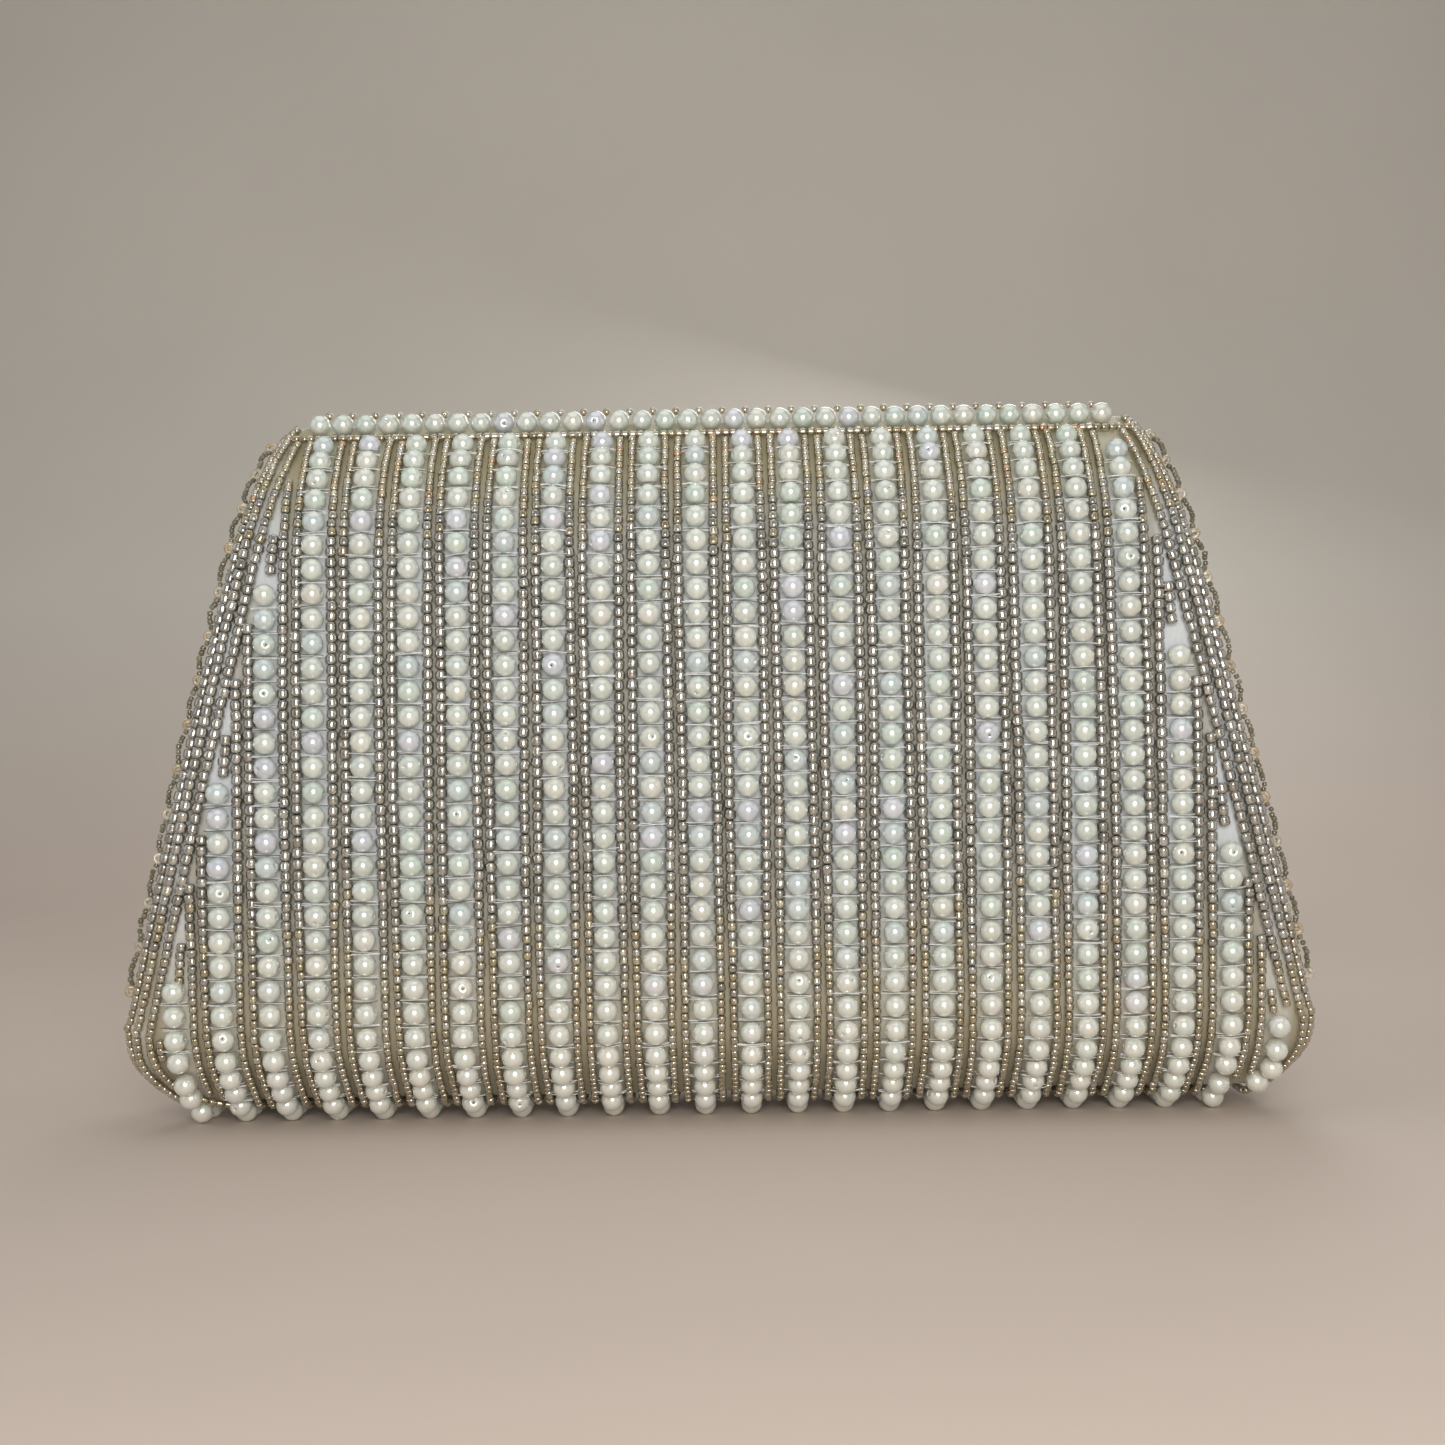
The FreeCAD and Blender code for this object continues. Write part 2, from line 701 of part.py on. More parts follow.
def fold_beads():
    """The pearls along the fold, the small beads between them and the strand below them."""
    angle = math.radians(size("fold_angle"))
    end = Vector(0, -size("fold_start"), size("fold_height"))
    along = Vector(0, math.sin(angle), math.cos(angle))
    out = Vector(0, -math.cos(angle), math.sin(angle))
    pearl, seed, clearance = size("pearl_size") / 2, size("seed_size") / 2, size("bead_clearance")
    row = end - along * size("fold_row_back") + out * (pearl + clearance)
    half = half_width(row.z) - pearl - 2
    pitch = size("fold_pearl_pitch")
    count = int(half // pitch)
    spots = [row + Vector(n * pitch, 0, 0) for n in range(-count, count + 1)]
    shaped(beads_at(spots, 2 * pearl), "fold_pearls")
    between = [spot + Vector(pitch / 2, 0, 0) + out * (pearl - 0.05) for spot in spots[:-1]]
    shaped(beads_at(between, size("accent_size")), "fold_accent_beads")
    strand = end - along * size("fold_seed_back") + out * (seed + clearance)
    shaped(
        Part.makeCylinder(seed, 2 * half, strand - Vector(half, 0, 0), Vector(1, 0, 0)),
        "fold_seed_strand",
    )
    return row, strand


def body_beads(body, outline):
    """Pearls and seed strands on the back, round the underside and low on the front."""
    row, strand = fold_beads()
    base, pearl = size("base_half"), size("pearl_size")
    line = bead_line(body, pearl / 2, size("pearl_pitch"), Vector(0, 0, 0))
    spots = pearl_spots(line, BAG)
    under = [p for p in spots if p.z < pearl / 2 + 0.5]
    back = [p for p in spots if p.y < 0 and p.z > pearl / 2 + 0.5]
    back = [p for p in back if math.hypot(p.y - row.y, p.z - row.z) > size("fold_clear")]
    shaped(beads_at([p for p in back if p.z < row.z], pearl), "back_pearls")
    front = [p for p in spots if p.y > 0 and p.z > pearl / 2 + 0.5]
    front = [p for p in front if p.z + pearl / 2 < size("front_bead_top")]
    shaped(beads_at(front, pearl), "front_pearls")
    feet_x = row_places()[1:-1:FEET_EVERY]
    feet = [p for p in under if abs(p.y) > base / 2 and any(abs(p.x - x) < 0.1 for x in feet_x)]
    shaped(beads_at(feet, pearl), "foot_pearls")
    shaped(beads_at([p for p in under if p not in feet], pearl), "underside_pearls")

    far = size("panel_length")
    top = strand.z - size("seed_size") / 2
    shaped(
        strands(body, Vector(0, -far, 0), Vector(0, -base, top), BAG), "back_seed_strands"
    )
    shaped(strands(body, Vector(0, -base, 0), Vector(0, base, top), BAG), "underside_seed_strands")
    low_front = Vector(0, far, size("front_bead_top"))
    shaped(strands(body, Vector(0, base, 0), low_front, BAG), "front_seed_strands")

    left = ("-Sizes.panel_length / 2", "-Sizes.edge_zone")
    right = ("Sizes.edge_zone", "Sizes.panel_length / 2")
    behind = ("-Sizes.panel_length / 2", "Sizes.base_half")
    before = ("Sizes.base_half + 0.1", "Sizes.panel_length / 2")
    height = ("0", "Sizes.picot_top")
    low = ("0", "Sizes.front_bead_top")
    back_sides = fused(*[box(x, behind, height) for x in (left, right)])
    edge_rows(body, outline, back_sides, "back_edge_seeds")
    front_sides = fused(*[box(x, before, low) for x in (left, right)])
    edge_rows(body, outline, front_sides, "front_edge_seeds")


def flap_beads(flap, outline):
    """Pearls, seed strands and edge rows on the flap."""
    pearl = size("pearl_size")
    hinge = Vector(0, 0, size("fold_centre") + size("fold_radius"))
    line = bead_line(flap, pearl / 2, size("pearl_pitch"), hinge)
    clear = [p for p in line if p.distanceToPoint(hinge) > size("fold_clear")]
    shaped(beads_at(pearl_spots(clear, FLAP), pearl), "flap_pearls")
    far, top = size("panel_length"), size("fold_height") - size("seed_size")
    shaped(strands(flap, Vector(0, 0, 0), Vector(0, far, top), FLAP), "flap_seed_strands")
    whole = box(EVERYWHERE, EVERYWHERE, ("0", "Sizes.picot_top"))
    edge_rows(flap, outline, whole, "flap_edge_seeds")


def depths(section, inward, side):
    """A section's depth at a height, on the back (-1) or the front (1), as a function."""
    points = moved_out(section, -inward).discretize(Distance=0.2)
    fitting = [p for p in points if p.y * side > 0]
    return lambda height: min(fitting, key=lambda p: abs(p.z - height)).y


def side_edging(body):
    """Picot edging down both sides of the back, from the top corners to above the base."""
    tilt = math.radians(size("side_angle"))
    depth_at = depths(body, size("cloth") + size("piping_size"), -1)
    path, outward = [], []
    for side in (-1, 1):
        out = Vector(side * math.cos(tilt), 0, math.sin(tilt))
        points, travelled, last = [], 0.0, None
        height = size("picot_top")
        while height >= size("picot_bottom"):
            point = Vector(side * half_width(height), depth_at(height), height)
            point += out * size("edging_offset")
            travelled += point.distanceToPoint(last) if last else size("picot_pitch")
            last = point
            if travelled >= size("picot_pitch"):
                points.append(point)
                travelled = 0.0
            height -= EDGE_STEP
        path.append(points)
        outward.append([out] * len(points))
    picot_edging(path, outward, "side")


def flap_edging(flap, outline):
    """Picot edging down the flap's sides and along its lower edge."""
    grown = outline.Shape.makeOffset2D(size("edging_offset"), 2, False, False)
    wire = grown if grown.ShapeType == "Wire" else grown.Wires[0]
    fine = [p for p in wire.discretize(Distance=0.2) if p.z < size("picot_top")]
    start = max(range(len(fine)), key=lambda n: fine[n].distanceToPoint(fine[n - 1]))
    fine = fine[start:] + fine[:start]
    depth_at = depths(flap, size("cloth") / 2, 1)
    points, travelled = [], size("picot_pitch")
    for one, other in zip(fine, fine[1:]):
        travelled += other.distanceToPoint(one)
        if travelled >= size("picot_pitch"):
            points.append(Vector(other.x, depth_at(other.z), other.z))
            travelled = 0.0
    middle = Vector(0, 0, size("outline_top"))
    outs = [Vector(p.x - middle.x, 0, (p.z - middle.z) * 0.4).normalize() for p in points]
    picot_edging([points], [outs], "flap")


def check(things):
    """Stop if any object failed or any sub-part isn't sound."""
    failed = [thing.Label for thing in document.Objects if {"Invalid", "Error"} & set(thing.State)]
    unsound = [t.Label for t in things if t.Shape.isNull() or not t.Shape.isValid()]
    empty = [t.Label for t in things if not t.Shape.Solids]
    if failed or unsound or empty:
        raise RuntimeError(f"failed: {failed}, unsound: {unsound}, empty: {empty}")


def main():
    fill_sheet()
    body, flap = body_section(), flap_section()
    fold_back = fold_section("fold_back", -size("fold_angle"), -88)
    fold_front = fold_section("fold_front", -92, -180 + size("fold_angle"))
    bag_outline = panel_outline("bag_outline", *BAG)
    flap_outline = panel_outline("flap_outline", *FLAP)
    document.recompute()

    body_shells(body, fold_back, bag_outline)
    gussets(body, bag_outline)
    slip_pocket()
    mouth_binding(bag_outline)
    flap_shells(flap, fold_front, flap_outline)
    press_stud()
    body_beads(body, bag_outline)
    flap_beads(flap, flap_outline)
    side_edging(body)
    flap_edging(flap, flap_outline)

    document.recompute()
    check(sub_parts)
    os.makedirs("parts", exist_ok=True)
    for thing in sub_parts:
        thing.Shape.exportStep(f"parts/{thing.Label}.step")
        solids = len(thing.Shape.Solids)
        print(f"{thing.Label}: {solids} solids, {thing.Shape.Volume:.0f} cubic mm")


main()
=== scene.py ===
import math

import bpy
import numpy as np
from mathutils import Matrix, Vector


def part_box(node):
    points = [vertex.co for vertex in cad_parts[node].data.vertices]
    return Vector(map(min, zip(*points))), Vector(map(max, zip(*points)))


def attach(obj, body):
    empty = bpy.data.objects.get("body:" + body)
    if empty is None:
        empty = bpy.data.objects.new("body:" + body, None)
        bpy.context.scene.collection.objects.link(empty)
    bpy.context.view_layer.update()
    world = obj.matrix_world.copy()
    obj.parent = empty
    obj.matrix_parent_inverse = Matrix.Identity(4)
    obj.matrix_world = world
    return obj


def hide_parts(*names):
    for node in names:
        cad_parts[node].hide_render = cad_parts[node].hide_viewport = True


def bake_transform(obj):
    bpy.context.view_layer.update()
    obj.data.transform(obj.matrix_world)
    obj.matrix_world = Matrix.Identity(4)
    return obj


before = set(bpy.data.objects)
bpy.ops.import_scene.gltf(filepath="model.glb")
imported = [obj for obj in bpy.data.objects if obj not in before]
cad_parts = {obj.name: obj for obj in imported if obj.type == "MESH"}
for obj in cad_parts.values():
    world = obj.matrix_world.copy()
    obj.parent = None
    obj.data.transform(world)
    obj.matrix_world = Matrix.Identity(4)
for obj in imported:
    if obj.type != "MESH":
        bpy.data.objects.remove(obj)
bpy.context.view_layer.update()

# A beaded evening bag. X is the width, Y the depth, Z up; the back faces -Y and the flap +Y.
# Every panel follows one line, seen from the side: from the front's mouth edge down, round the
# base, up the back, over the fold and down the flap. A place on it is its distance along the line.

MM = 0.001
SEED = 41
random = np.random.default_rng(SEED)

PEARL = 4.0 * MM
BEAD = 2.1 * MM
BEAD_GAP = 0.03 * MM
PEARL_REST = PEARL / 2 + BEAD_GAP
SEED_REST = BEAD / 2 + BEAD_GAP
ROW_SHIFT = 5.5 * MM
ROW_PITCH = 8.35 * MM
ROWS = range(-12, 12)
STRAND_OFFSET = 3.04 * MM
FRONT_DEPTH = 15.0 * MM
MOUTH_HEIGHT = 98.0 * MM
BASE_HALF = 6.5 * MM
BASE_Z = PEARL + BEAD_GAP  # the base hangs above the pearls that it stands on
SIDE_LEAN = math.radians(13.3)
OUTLINE_TOP = 129.5 * MM
TOP_CORNER = 9.0 * MM
FRONT_BEADS = 18.4 * MM
STACK = 2.5 * MM  # cloth, board and lining together
SATIN_THICK = 0.4 * MM
LINING_THICK = 0.3 * MM
SHOULDER = 121 * MM  # height where the panels begin to bend over the fold
SEAM = 124.5 * MM  # height of the seams beside the fold
ROW_MARGIN = 5.0 * MM  # from a panel's outline to the nearest strand
PATH_STEP = 0.3 * MM  # between the places on a path of beads
MOST_TRIANGLES = 190000  # in one piece of beads

# flat half of the lower edge, height of the lower edge, radius of the lower corners
BAG = (88.0 * MM, 1.0 * MM, 15.0 * MM)
FLAP = (77.316 * MM, 22.0 * MM, 20.0 * MM)


# -------- the line seen from the side


def toward(heading):
    """Unit (y, z) for a heading in degrees: 0 is up, 90 towards the back, -90 towards the front."""
    angle = np.radians(heading)
    return np.stack([-np.sin(angle), np.cos(angle)], -1)


def distances(path):
    """How far along a path each of its points lies."""
    return np.concatenate([[0], np.cumsum(np.linalg.norm(np.diff(path, axis=0), axis=1))])


def trace(start, heading, steps, spacing=0.1 * MM):
    """Places, headings and distances along lines and arcs that are tangent to each other."""
    point = np.array(start)
    places, headings = [point[None]], [np.array([float(heading)])]
    for step in steps:
        if step[0] == "line":
            count = max(2, int(step[1] / spacing))
            run = np.linspace(0, step[1], count)[1:, None]
            places.append(point + run * toward(heading))
            headings.append(np.full(count - 1, float(heading)))
        else:
            radius, turned = step[1:]
            count = max(3, int(radius * abs(math.radians(turned - heading)) / spacing))
            side = 90 if turned > heading else -90
            centre = point + toward(heading + side) * radius
            angles = np.linspace(heading, turned, count)[1:]
            places.append(centre - toward(angles + side) * radius)
            headings.append(angles)
            heading = turned
        point = places[-1][-1]
    places, headings = np.concatenate(places), np.concatenate(headings)
    return places, headings, distances(places)


PANEL_RADIUS, SHOULDER_RADIUS, FOLD_RADIUS = 640 * MM, 32 * MM, 4.0 * MM
SHOULDER_HEADING, FOLD_HEADING = 4.013, 47.0
FOLD_LEG = ("line", 7.4 * MM)
FRONT_TURN = 8.5 * MM
BACK_FOOT = (("arc", 3.0 * MM, 46), ("line", 7.648 * MM), ("arc", 15.8 * MM, 3.072))
PLACES, HEADINGS, ALONG = trace(
    (FRONT_DEPTH, MOUTH_HEIGHT),
    180,
    [
        ("line", MOUTH_HEIGHT - BASE_Z - FRONT_TURN),
        ("arc", FRONT_TURN, 90),
        ("line", 2 * BASE_HALF),
        *BACK_FOOT,
        ("arc", PANEL_RADIUS, -SHOULDER_HEADING),
        ("arc", SHOULDER_RADIUS, -FOLD_HEADING),
        FOLD_LEG,
        ("arc", FOLD_RADIUS, FOLD_HEADING - 180),
        FOLD_LEG,
        ("arc", SHOULDER_RADIUS, SHOULDER_HEADING - 180),
        ("arc", PANEL_RADIUS, -182.955),
    ],
)
END = ALONG[-1]
HINGE = float(ALONG[np.argmax(PLACES[:, 1])])
BASE = float(ALONG[np.argmin(np.abs(PLACES[:, 0]) + PLACES[:, 1])])


def at(along, outward=0.0):
    """(y, z) on the line, moved outwards."""
    along = np.asarray(along, float)
    y = np.interp(along, ALONG, PLACES[:, 0])
    z = np.interp(along, ALONG, PLACES[:, 1])
    out = toward(np.interp(along, ALONG, HEADINGS) + 90)
    return y + out[..., 0] * outward, z + out[..., 1] * outward


def find(height, part):
    """The distance along the line at a height, on its front, back or flap."""
    low, high = {"front": (0, BASE), "back": (BASE, HINGE), "flap": (HINGE, END)}[part]
    chosen = (ALONG >= low) & (ALONG <= high)
    z, along = PLACES[chosen, 1], ALONG[chosen]
    order = np.argsort(z, kind="stable")
    return np.interp(height, z[order], along[order])


def slanted_side(z, shape):
    """Half of a panel's width at a height, if its sides were straight all the way."""
    flat_half, bottom, corner = shape
    return flat_half + corner / math.cos(SIDE_LEAN) - (z - (bottom + corner)) * math.tan(SIDE_LEAN)


def half_width(z, shape=BAG, inset=0.0):
    """Half of a panel's width at a height, with its rounded corners, less an inset."""
    flat_half, bottom, corner = shape
    z = np.asarray(z, float)
    centre, radius = bottom + corner, corner - inset
    side = slanted_side(z, shape) - inset / math.cos(SIDE_LEAN)
    below = np.clip(centre - z, 0, radius)
    low = flat_half + np.sqrt(np.maximum(radius**2 - below**2, 0))
    top_centre = OUTLINE_TOP - TOP_CORNER
    lean_at = top_centre + TOP_CORNER * math.sin(SIDE_LEAN)
    top_x = slanted_side(lean_at, shape) - TOP_CORNER * math.cos(SIDE_LEAN)
    above = np.clip(z - top_centre, 0, TOP_CORNER - inset)
    top = top_x + np.sqrt(np.maximum((TOP_CORNER - inset) ** 2 - above**2, 0))
    low_join = centre + radius * math.sin(SIDE_LEAN)
    return np.where(z < low_join, np.minimum(low, side + 1), np.where(z > lean_at, top, side))


def room(x, z, shape):
    """How far inside a panel's outline a place is."""
    flat_half, bottom, corner = shape
    x, z = np.abs(x), np.asarray(z, float)
    inside = (slanted_side(z, shape) - x) * math.cos(SIDE_LEAN)
    if shape is FLAP:
        inside = np.minimum(inside, z - bottom)
    below, beyond = bottom + corner - z, x - flat_half
    rounded = corner - np.hypot(below, beyond)
    return np.where((below > 0) & (beyond > 0), rounded, inside)


# -------- meshes


def put(name, data):
    """A new object in the scene."""
    thing = bpy.data.objects.new(name, data)
    bpy.context.scene.collection.objects.link(thing)
    return thing


def mesh_object(name, vertices, faces):
    """A new, smoothly shaded mesh object; faces is an array of quads."""
    vertices, faces = np.asarray(vertices, np.float32), np.asarray(faces, np.int32)
    mesh = bpy.data.meshes.new(name)
    mesh.vertices.add(len(vertices))
    mesh.vertices.foreach_set("co", vertices.ravel())
    mesh.loops.add(faces.size)
    mesh.loops.foreach_set("vertex_index", faces.ravel())
    mesh.polygons.add(len(faces))
    mesh.polygons.foreach_set("loop_start", np.arange(len(faces), dtype=np.int32) * faces.shape[1])
    mesh.polygons.foreach_set("use_smooth", np.full(len(faces), True))
    mesh.update(calc_edges=True)
    mesh.validate()
    return put(name, mesh)


def grid_faces(rows, columns, start=0, wrap=False):
    """Quads between a grid's rows and columns, closed round the columns if wrap."""
    row, column = np.meshgrid(np.arange(rows - 1), np.arange(columns - (not wrap)), indexing="ij")
    right = (column + 1) % columns
    quads = [row * columns + column, row * columns + right]
    quads += [(row + 1) * columns + right, (row + 1) * columns + column]
    return np.stack(quads, -1).reshape(-1, 4) + start


def cloth(name, points, thickness):
    """A closed sheet, its outer side on a grid of points and as thick as given."""
    rows, columns = points.shape[:2]
    normal = np.cross(np.gradient(points, axis=1), np.gradient(points, axis=0))
    normal /= np.maximum(np.linalg.norm(normal, axis=-1, keepdims=True), 1e-12)
    inner = points - normal * thickness
    outer_faces = grid_faces(rows, columns)
    inner_faces = grid_faces(rows, columns, rows * columns)[:, ::-1]
    number = np.arange(rows * columns).reshape(rows, columns)
    rim = np.concatenate([number[0], number[1:, -1], number[-1, -2::-1], number[-2:0:-1, 0]])
    after = np.roll(rim, -1)
    deep = rows * columns
    rim_faces = np.stack([after, rim, rim + deep, after + deep], -1)
    vertices = np.concatenate([points.reshape(-1, 3), inner.reshape(-1, 3)])
    return mesh_object(name, vertices, np.concatenate([outer_faces, inner_faces, rim_faces])[:, ::-1])


def tubes(name, paths, radius, sides=6, ply=0.0, turns=0.0):
    """Round tubes along paths, each an (n, 3) array; ply gives them a twisted, two-ply outline."""
    vertices, faces, start = [], [], 0
    angle = np.linspace(0, 2 * np.pi, sides, endpoint=False)
    for path in paths:
        path = np.asarray(path, float)
        way = np.gradient(path, axis=0)
        way /= np.linalg.norm(way, axis=1, keepdims=True)
        helper = np.array([0, 0, 1.0]) if abs(way[:, 2]).max() < 0.9 else np.array([1.0, 0, 0])
        if abs(way @ helper).max() > 0.95:
            helper = np.array([0.2, 0.95, 0.1])
        across = np.cross(way, helper)
        across /= np.linalg.norm(across, axis=1, keepdims=True)
        up = np.cross(across, way)
        walked = np.linspace(0, 1, len(path))[:, None] * turns * 2 * np.pi
        wide = radius * (1 + ply * np.cos(2 * (angle[None] - walked)))
        around = across[:, None] * (np.cos(angle)[None] * wide)[..., None]
        around = around + up[:, None] * (np.sin(angle)[None] * wide)[..., None]
        vertices.append((path[:, None] + around).reshape(-1, 3))
        faces.append(grid_faces(len(path), sides, start, wrap=True))
        start += len(path) * sides
    return mesh_object(name, np.concatenate(vertices), np.concatenate(faces))


def ring_solid(profile, sides):
    """A closed ring-shaped solid: a closed profile of (radius, height) turned about Z."""
    angle = np.linspace(0, 2 * np.pi, sides, endpoint=False)
    radius, height = np.array(profile).T
    x = radius[:, None] * np.cos(angle)
    y = radius[:, None] * np.sin(angle)
    z = np.repeat(height[:, None], sides, 1)
    vertices = np.stack([x, y, z], -1).reshape(-1, 3)
    faces = []
    for row in range(len(profile)):
        after = (row + 1) % len(profile)
        here, there = row * sides + np.arange(sides), after * sides + np.arange(sides)
        faces.append(np.stack([here, np.roll(here, -1), np.roll(there, -1), there], -1))
    return vertices, np.concatenate(faces)


def pearl_shape(sides=15, rings=9, hole=0.09):
    """A ball of radius 1 with a thread hole along Z."""
    first = math.asin(hole)
    angle = np.linspace(first, math.pi - first, rings)
    profile = [(math.sin(a), -math.cos(a)) for a in angle]
    return ring_solid(profile + [(hole, 0.75), (hole, -0.75)], sides)


def barrel_shape(length, sides=7, hole=0.34, shoulder=0.70, flat=0.68):
    """A seed bead of radius 1: a short tube with straight sides and rounded ends, along Z."""
    half = length / 2
    profile = [(hole, -half), (shoulder, -half), (1, -half * flat), (1, -half * flat * 0.5)]
    return ring_solid(profile + [(r, -h) for r, h in reversed(profile)], sides)


def scatter(name, shape, spots, axes, scales, tones):
    """Copies of one shape at many spots, in pieces of limited size, with a colour for each copy.

    axes gives each copy's Z direction, and scales its size along X, Y and Z.
    """
    base, faces = shape
    spots, axes = np.asarray(spots, float), np.asarray(axes, float)
    scales = np.broadcast_to(np.asarray(scales, float), spots.shape)
    z = axes / np.linalg.norm(axes, axis=1, keepdims=True)
    helper = np.where(np.abs(z[:, :1]) < 0.9, [[1.0, 0, 0]], [[0, 1.0, 0]])
    x = np.cross(helper, z)
    x /= np.linalg.norm(x, axis=1, keepdims=True)
    y = np.cross(z, x)
    spin = random.uniform(0, 2 * np.pi, len(spots))[:, None]
    x, y = x * np.cos(spin) + y * np.sin(spin), y * np.cos(spin) - x * np.sin(spin)
    sized = base[None] * scales[:, None]
    moved = sized[..., :1] * x[:, None] + sized[..., 1:2] * y[:, None] + sized[..., 2:] * z[:, None]
    moved += spots[:, None]
    each = MOST_TRIANGLES // (2 * len(faces))
    pieces = []
    count = math.ceil(len(spots) / each)
    for number in range(count):
        chosen = slice(number * each, (number + 1) * each)
        vertices = moved[chosen]
        shift = np.arange(len(vertices))[:, None, None] * len(base)
        label = name if count == 1 else f"{name}_{number + 1}"
        piece = mesh_object(label, vertices.reshape(-1, 3), (faces[None] + shift).reshape(-1, 4))
        colours = piece.data.color_attributes.new("tone", "FLOAT_COLOR", "POINT")
        spread = np.repeat(np.asarray(tones)[chosen], len(base), axis=0)
        spread = np.concatenate([spread, np.ones((len(spread), 1))], 1)
        colours.data.foreach_set("color", spread.astype(np.float32).ravel())
        pieces.append(piece)
    return pieces


def centres(node):
    """The middle of each separate solid of a CAD node of round beads.

    Every vertex takes the lowest number in its own solid, by passing it on along the edges.
    """
    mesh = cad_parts[node].data
    places = np.empty(len(mesh.vertices) * 3)
    mesh.vertices.foreach_get("co", places)
    places = places.reshape(-1, 3)
    edges = np.empty(len(mesh.edges) * 2, np.int64)
    mesh.edges.foreach_get("vertices", edges)
    edges = edges.reshape(-1, 2)
    label = np.arange(len(places))
    while True:
        lowest = label.copy()
        np.minimum.at(lowest, edges[:, 0], label[edges[:, 1]])
        np.minimum.at(lowest, edges[:, 1], label[edges[:, 0]])
        lowest = lowest[lowest]
        if (lowest == label).all():
            break
        label = lowest
    found, group = np.unique(label, return_inverse=True)
    low, high = np.full((len(found), 3), np.inf), np.full((len(found), 3), -np.inf)
    np.minimum.at(low, group, places)
    np.maximum.at(high, group, places)
    return (low + high) / 2


# -------- materials


def material(name, **sockets):
    """A material whose shader's sockets are set, with underscores for the spaces in their names."""
    made = bpy.data.materials.new(name)
    made.use_nodes = True
    shader = made.node_tree.nodes["Principled BSDF"]
    for socket, value in sockets.items():
        if isinstance(value, tuple) and len(value) == 3 and "Radius" not in socket:
            value = (*value, 1)
        shader.inputs[socket.replace("_", " ")].default_value = value
    return made


def add(made, kind, inputs=None, **options):
    """Add a shader node; an input given as a socket is linked, and any other is a value."""
    new = made.node_tree.nodes.new("ShaderNode" + kind)
    for option, value in options.items():
        setattr(new, option, value)
    for socket, value in (inputs or {}).items():
        if isinstance(value, bpy.types.NodeSocket):
            made.node_tree.links.new(value, new.inputs[socket])
        else:
            new.inputs[socket].default_value = value
    return new


def feed(made, socket, value):
    """Link a node's output to one of the shader's sockets."""
    made.node_tree.links.new(value, made.node_tree.nodes["Principled BSDF"].inputs[socket])


def noise(made, scale, detail=3.0, stretch=(1, 1, 1)):
    """Noise in the object's own space, features per metre, stretched along the axes."""
    where = add(made, "TexCoord")
    mapped = add(made, "Mapping", {"Vector": where.outputs["Object"], "Scale": stretch})
    texture = add(made, "TexNoise", {"Vector": mapped.outputs[0], "Scale": scale, "Detail": detail})
    return texture.outputs["Fac"]


def ramp(made, value, *stops):
    """Colours or greys along a value: each stop is (place, colour)."""
    found = add(made, "ValToRGB", {"Fac": value})
    elements = found.color_ramp.elements
    for number, (place, colour) in enumerate(stops):
        element = elements[number] if number < 2 else elements.new(place)
        element.position = place
        element.color = (*colour, 1) if isinstance(colour, tuple) else (colour, colour, colour, 1)
    return found.outputs["Color"]


def mixed(made, kind, share, first, second):
    """Two colours mixed, multiplied or otherwise blended."""
    first, second = ((*c, 1) if isinstance(c, tuple) else c for c in (first, second))
    factor, one, other, result = 0, 6, 7, 2  # a colour mix's own sockets
    inputs = {factor: share, one: first, other: second}
    return add(made, "Mix", inputs, data_type="RGBA", blend_type=kind).outputs[result]


def bumped(made, height, strength, distance):
    """Give the shader a bump from a height."""
    bump = add(made, "Bump", {"Height": height, "Strength": strength, "Distance": distance})
    feed(made, "Normal", bump.outputs["Normal"])


def tone_of(made):
    """The colour that each single bead carries."""
    return add(made, "Attribute", attribute_name="tone").outputs["Color"]


def pearl_material():
    """Imitation pearl: a lacquered, softly metallic ball with faint swirls."""
    made = material(
        "pearl_nacre", Roughness=0.25, Metallic=0.34, Coat_Weight=0.9, Coat_Roughness=0.1,
        Coat_IOR=1.7, Sheen_Weight=0.4, Sheen_Roughness=0.3, Sheen_Tint=(0.84, 0.95, 0.90),
        Subsurface_Weight=0.15, Subsurface_Radius=(0.0012, 0.0011, 0.0010), Subsurface_Scale=1.0,
        Specular_IOR_Level=0.55,
    )
    swirl = ramp(made, noise(made, 420, 2.0), (0.35, (0.88, 0.95, 0.93)), (0.62, (1.0, 0.99, 0.96)))
    feed(made, "Base Color", mixed(made, "MULTIPLY", 0.8, tone_of(made), swirl))
    bumped(made, noise(made, 900, 2.0), 0.06, 0.0001)
    return made


def seed_material(name, metallic, roughness):
    """Glass lined with silver: a bright dash down the middle and dim sides."""
    made = material(name, Metallic=metallic, Coat_Weight=1.0, Coat_Roughness=0.05, Coat_IOR=1.5)
    cloudy = ramp(made, noise(made, 700, 2.0), (0.3, 0.82), (0.7, 1.0))
    feed(made, "Base Color", mixed(made, "MULTIPLY", 1.0, tone_of(made), cloudy))
    low, high = roughness
    feed(made, "Roughness", ramp(made, noise(made, 500, 1.0), (0.3, low), (0.7, high)))
    bumped(made, noise(made, 1500, 1.0), 0.15, 0.0001)
    return made


def glass_material():
    """Half-clear coloured glass."""
    made = material(
        "clear_bead_glass", Roughness=0.08, Transmission_Weight=0.55, IOR=1.5, Coat_Weight=0.6,
        Coat_Roughness=0.03,
    )
    feed(made, "Base Color", tone_of(made))
    bumped(made, noise(made, 1200, 1.0), 0.1, 0.0001)
    return made


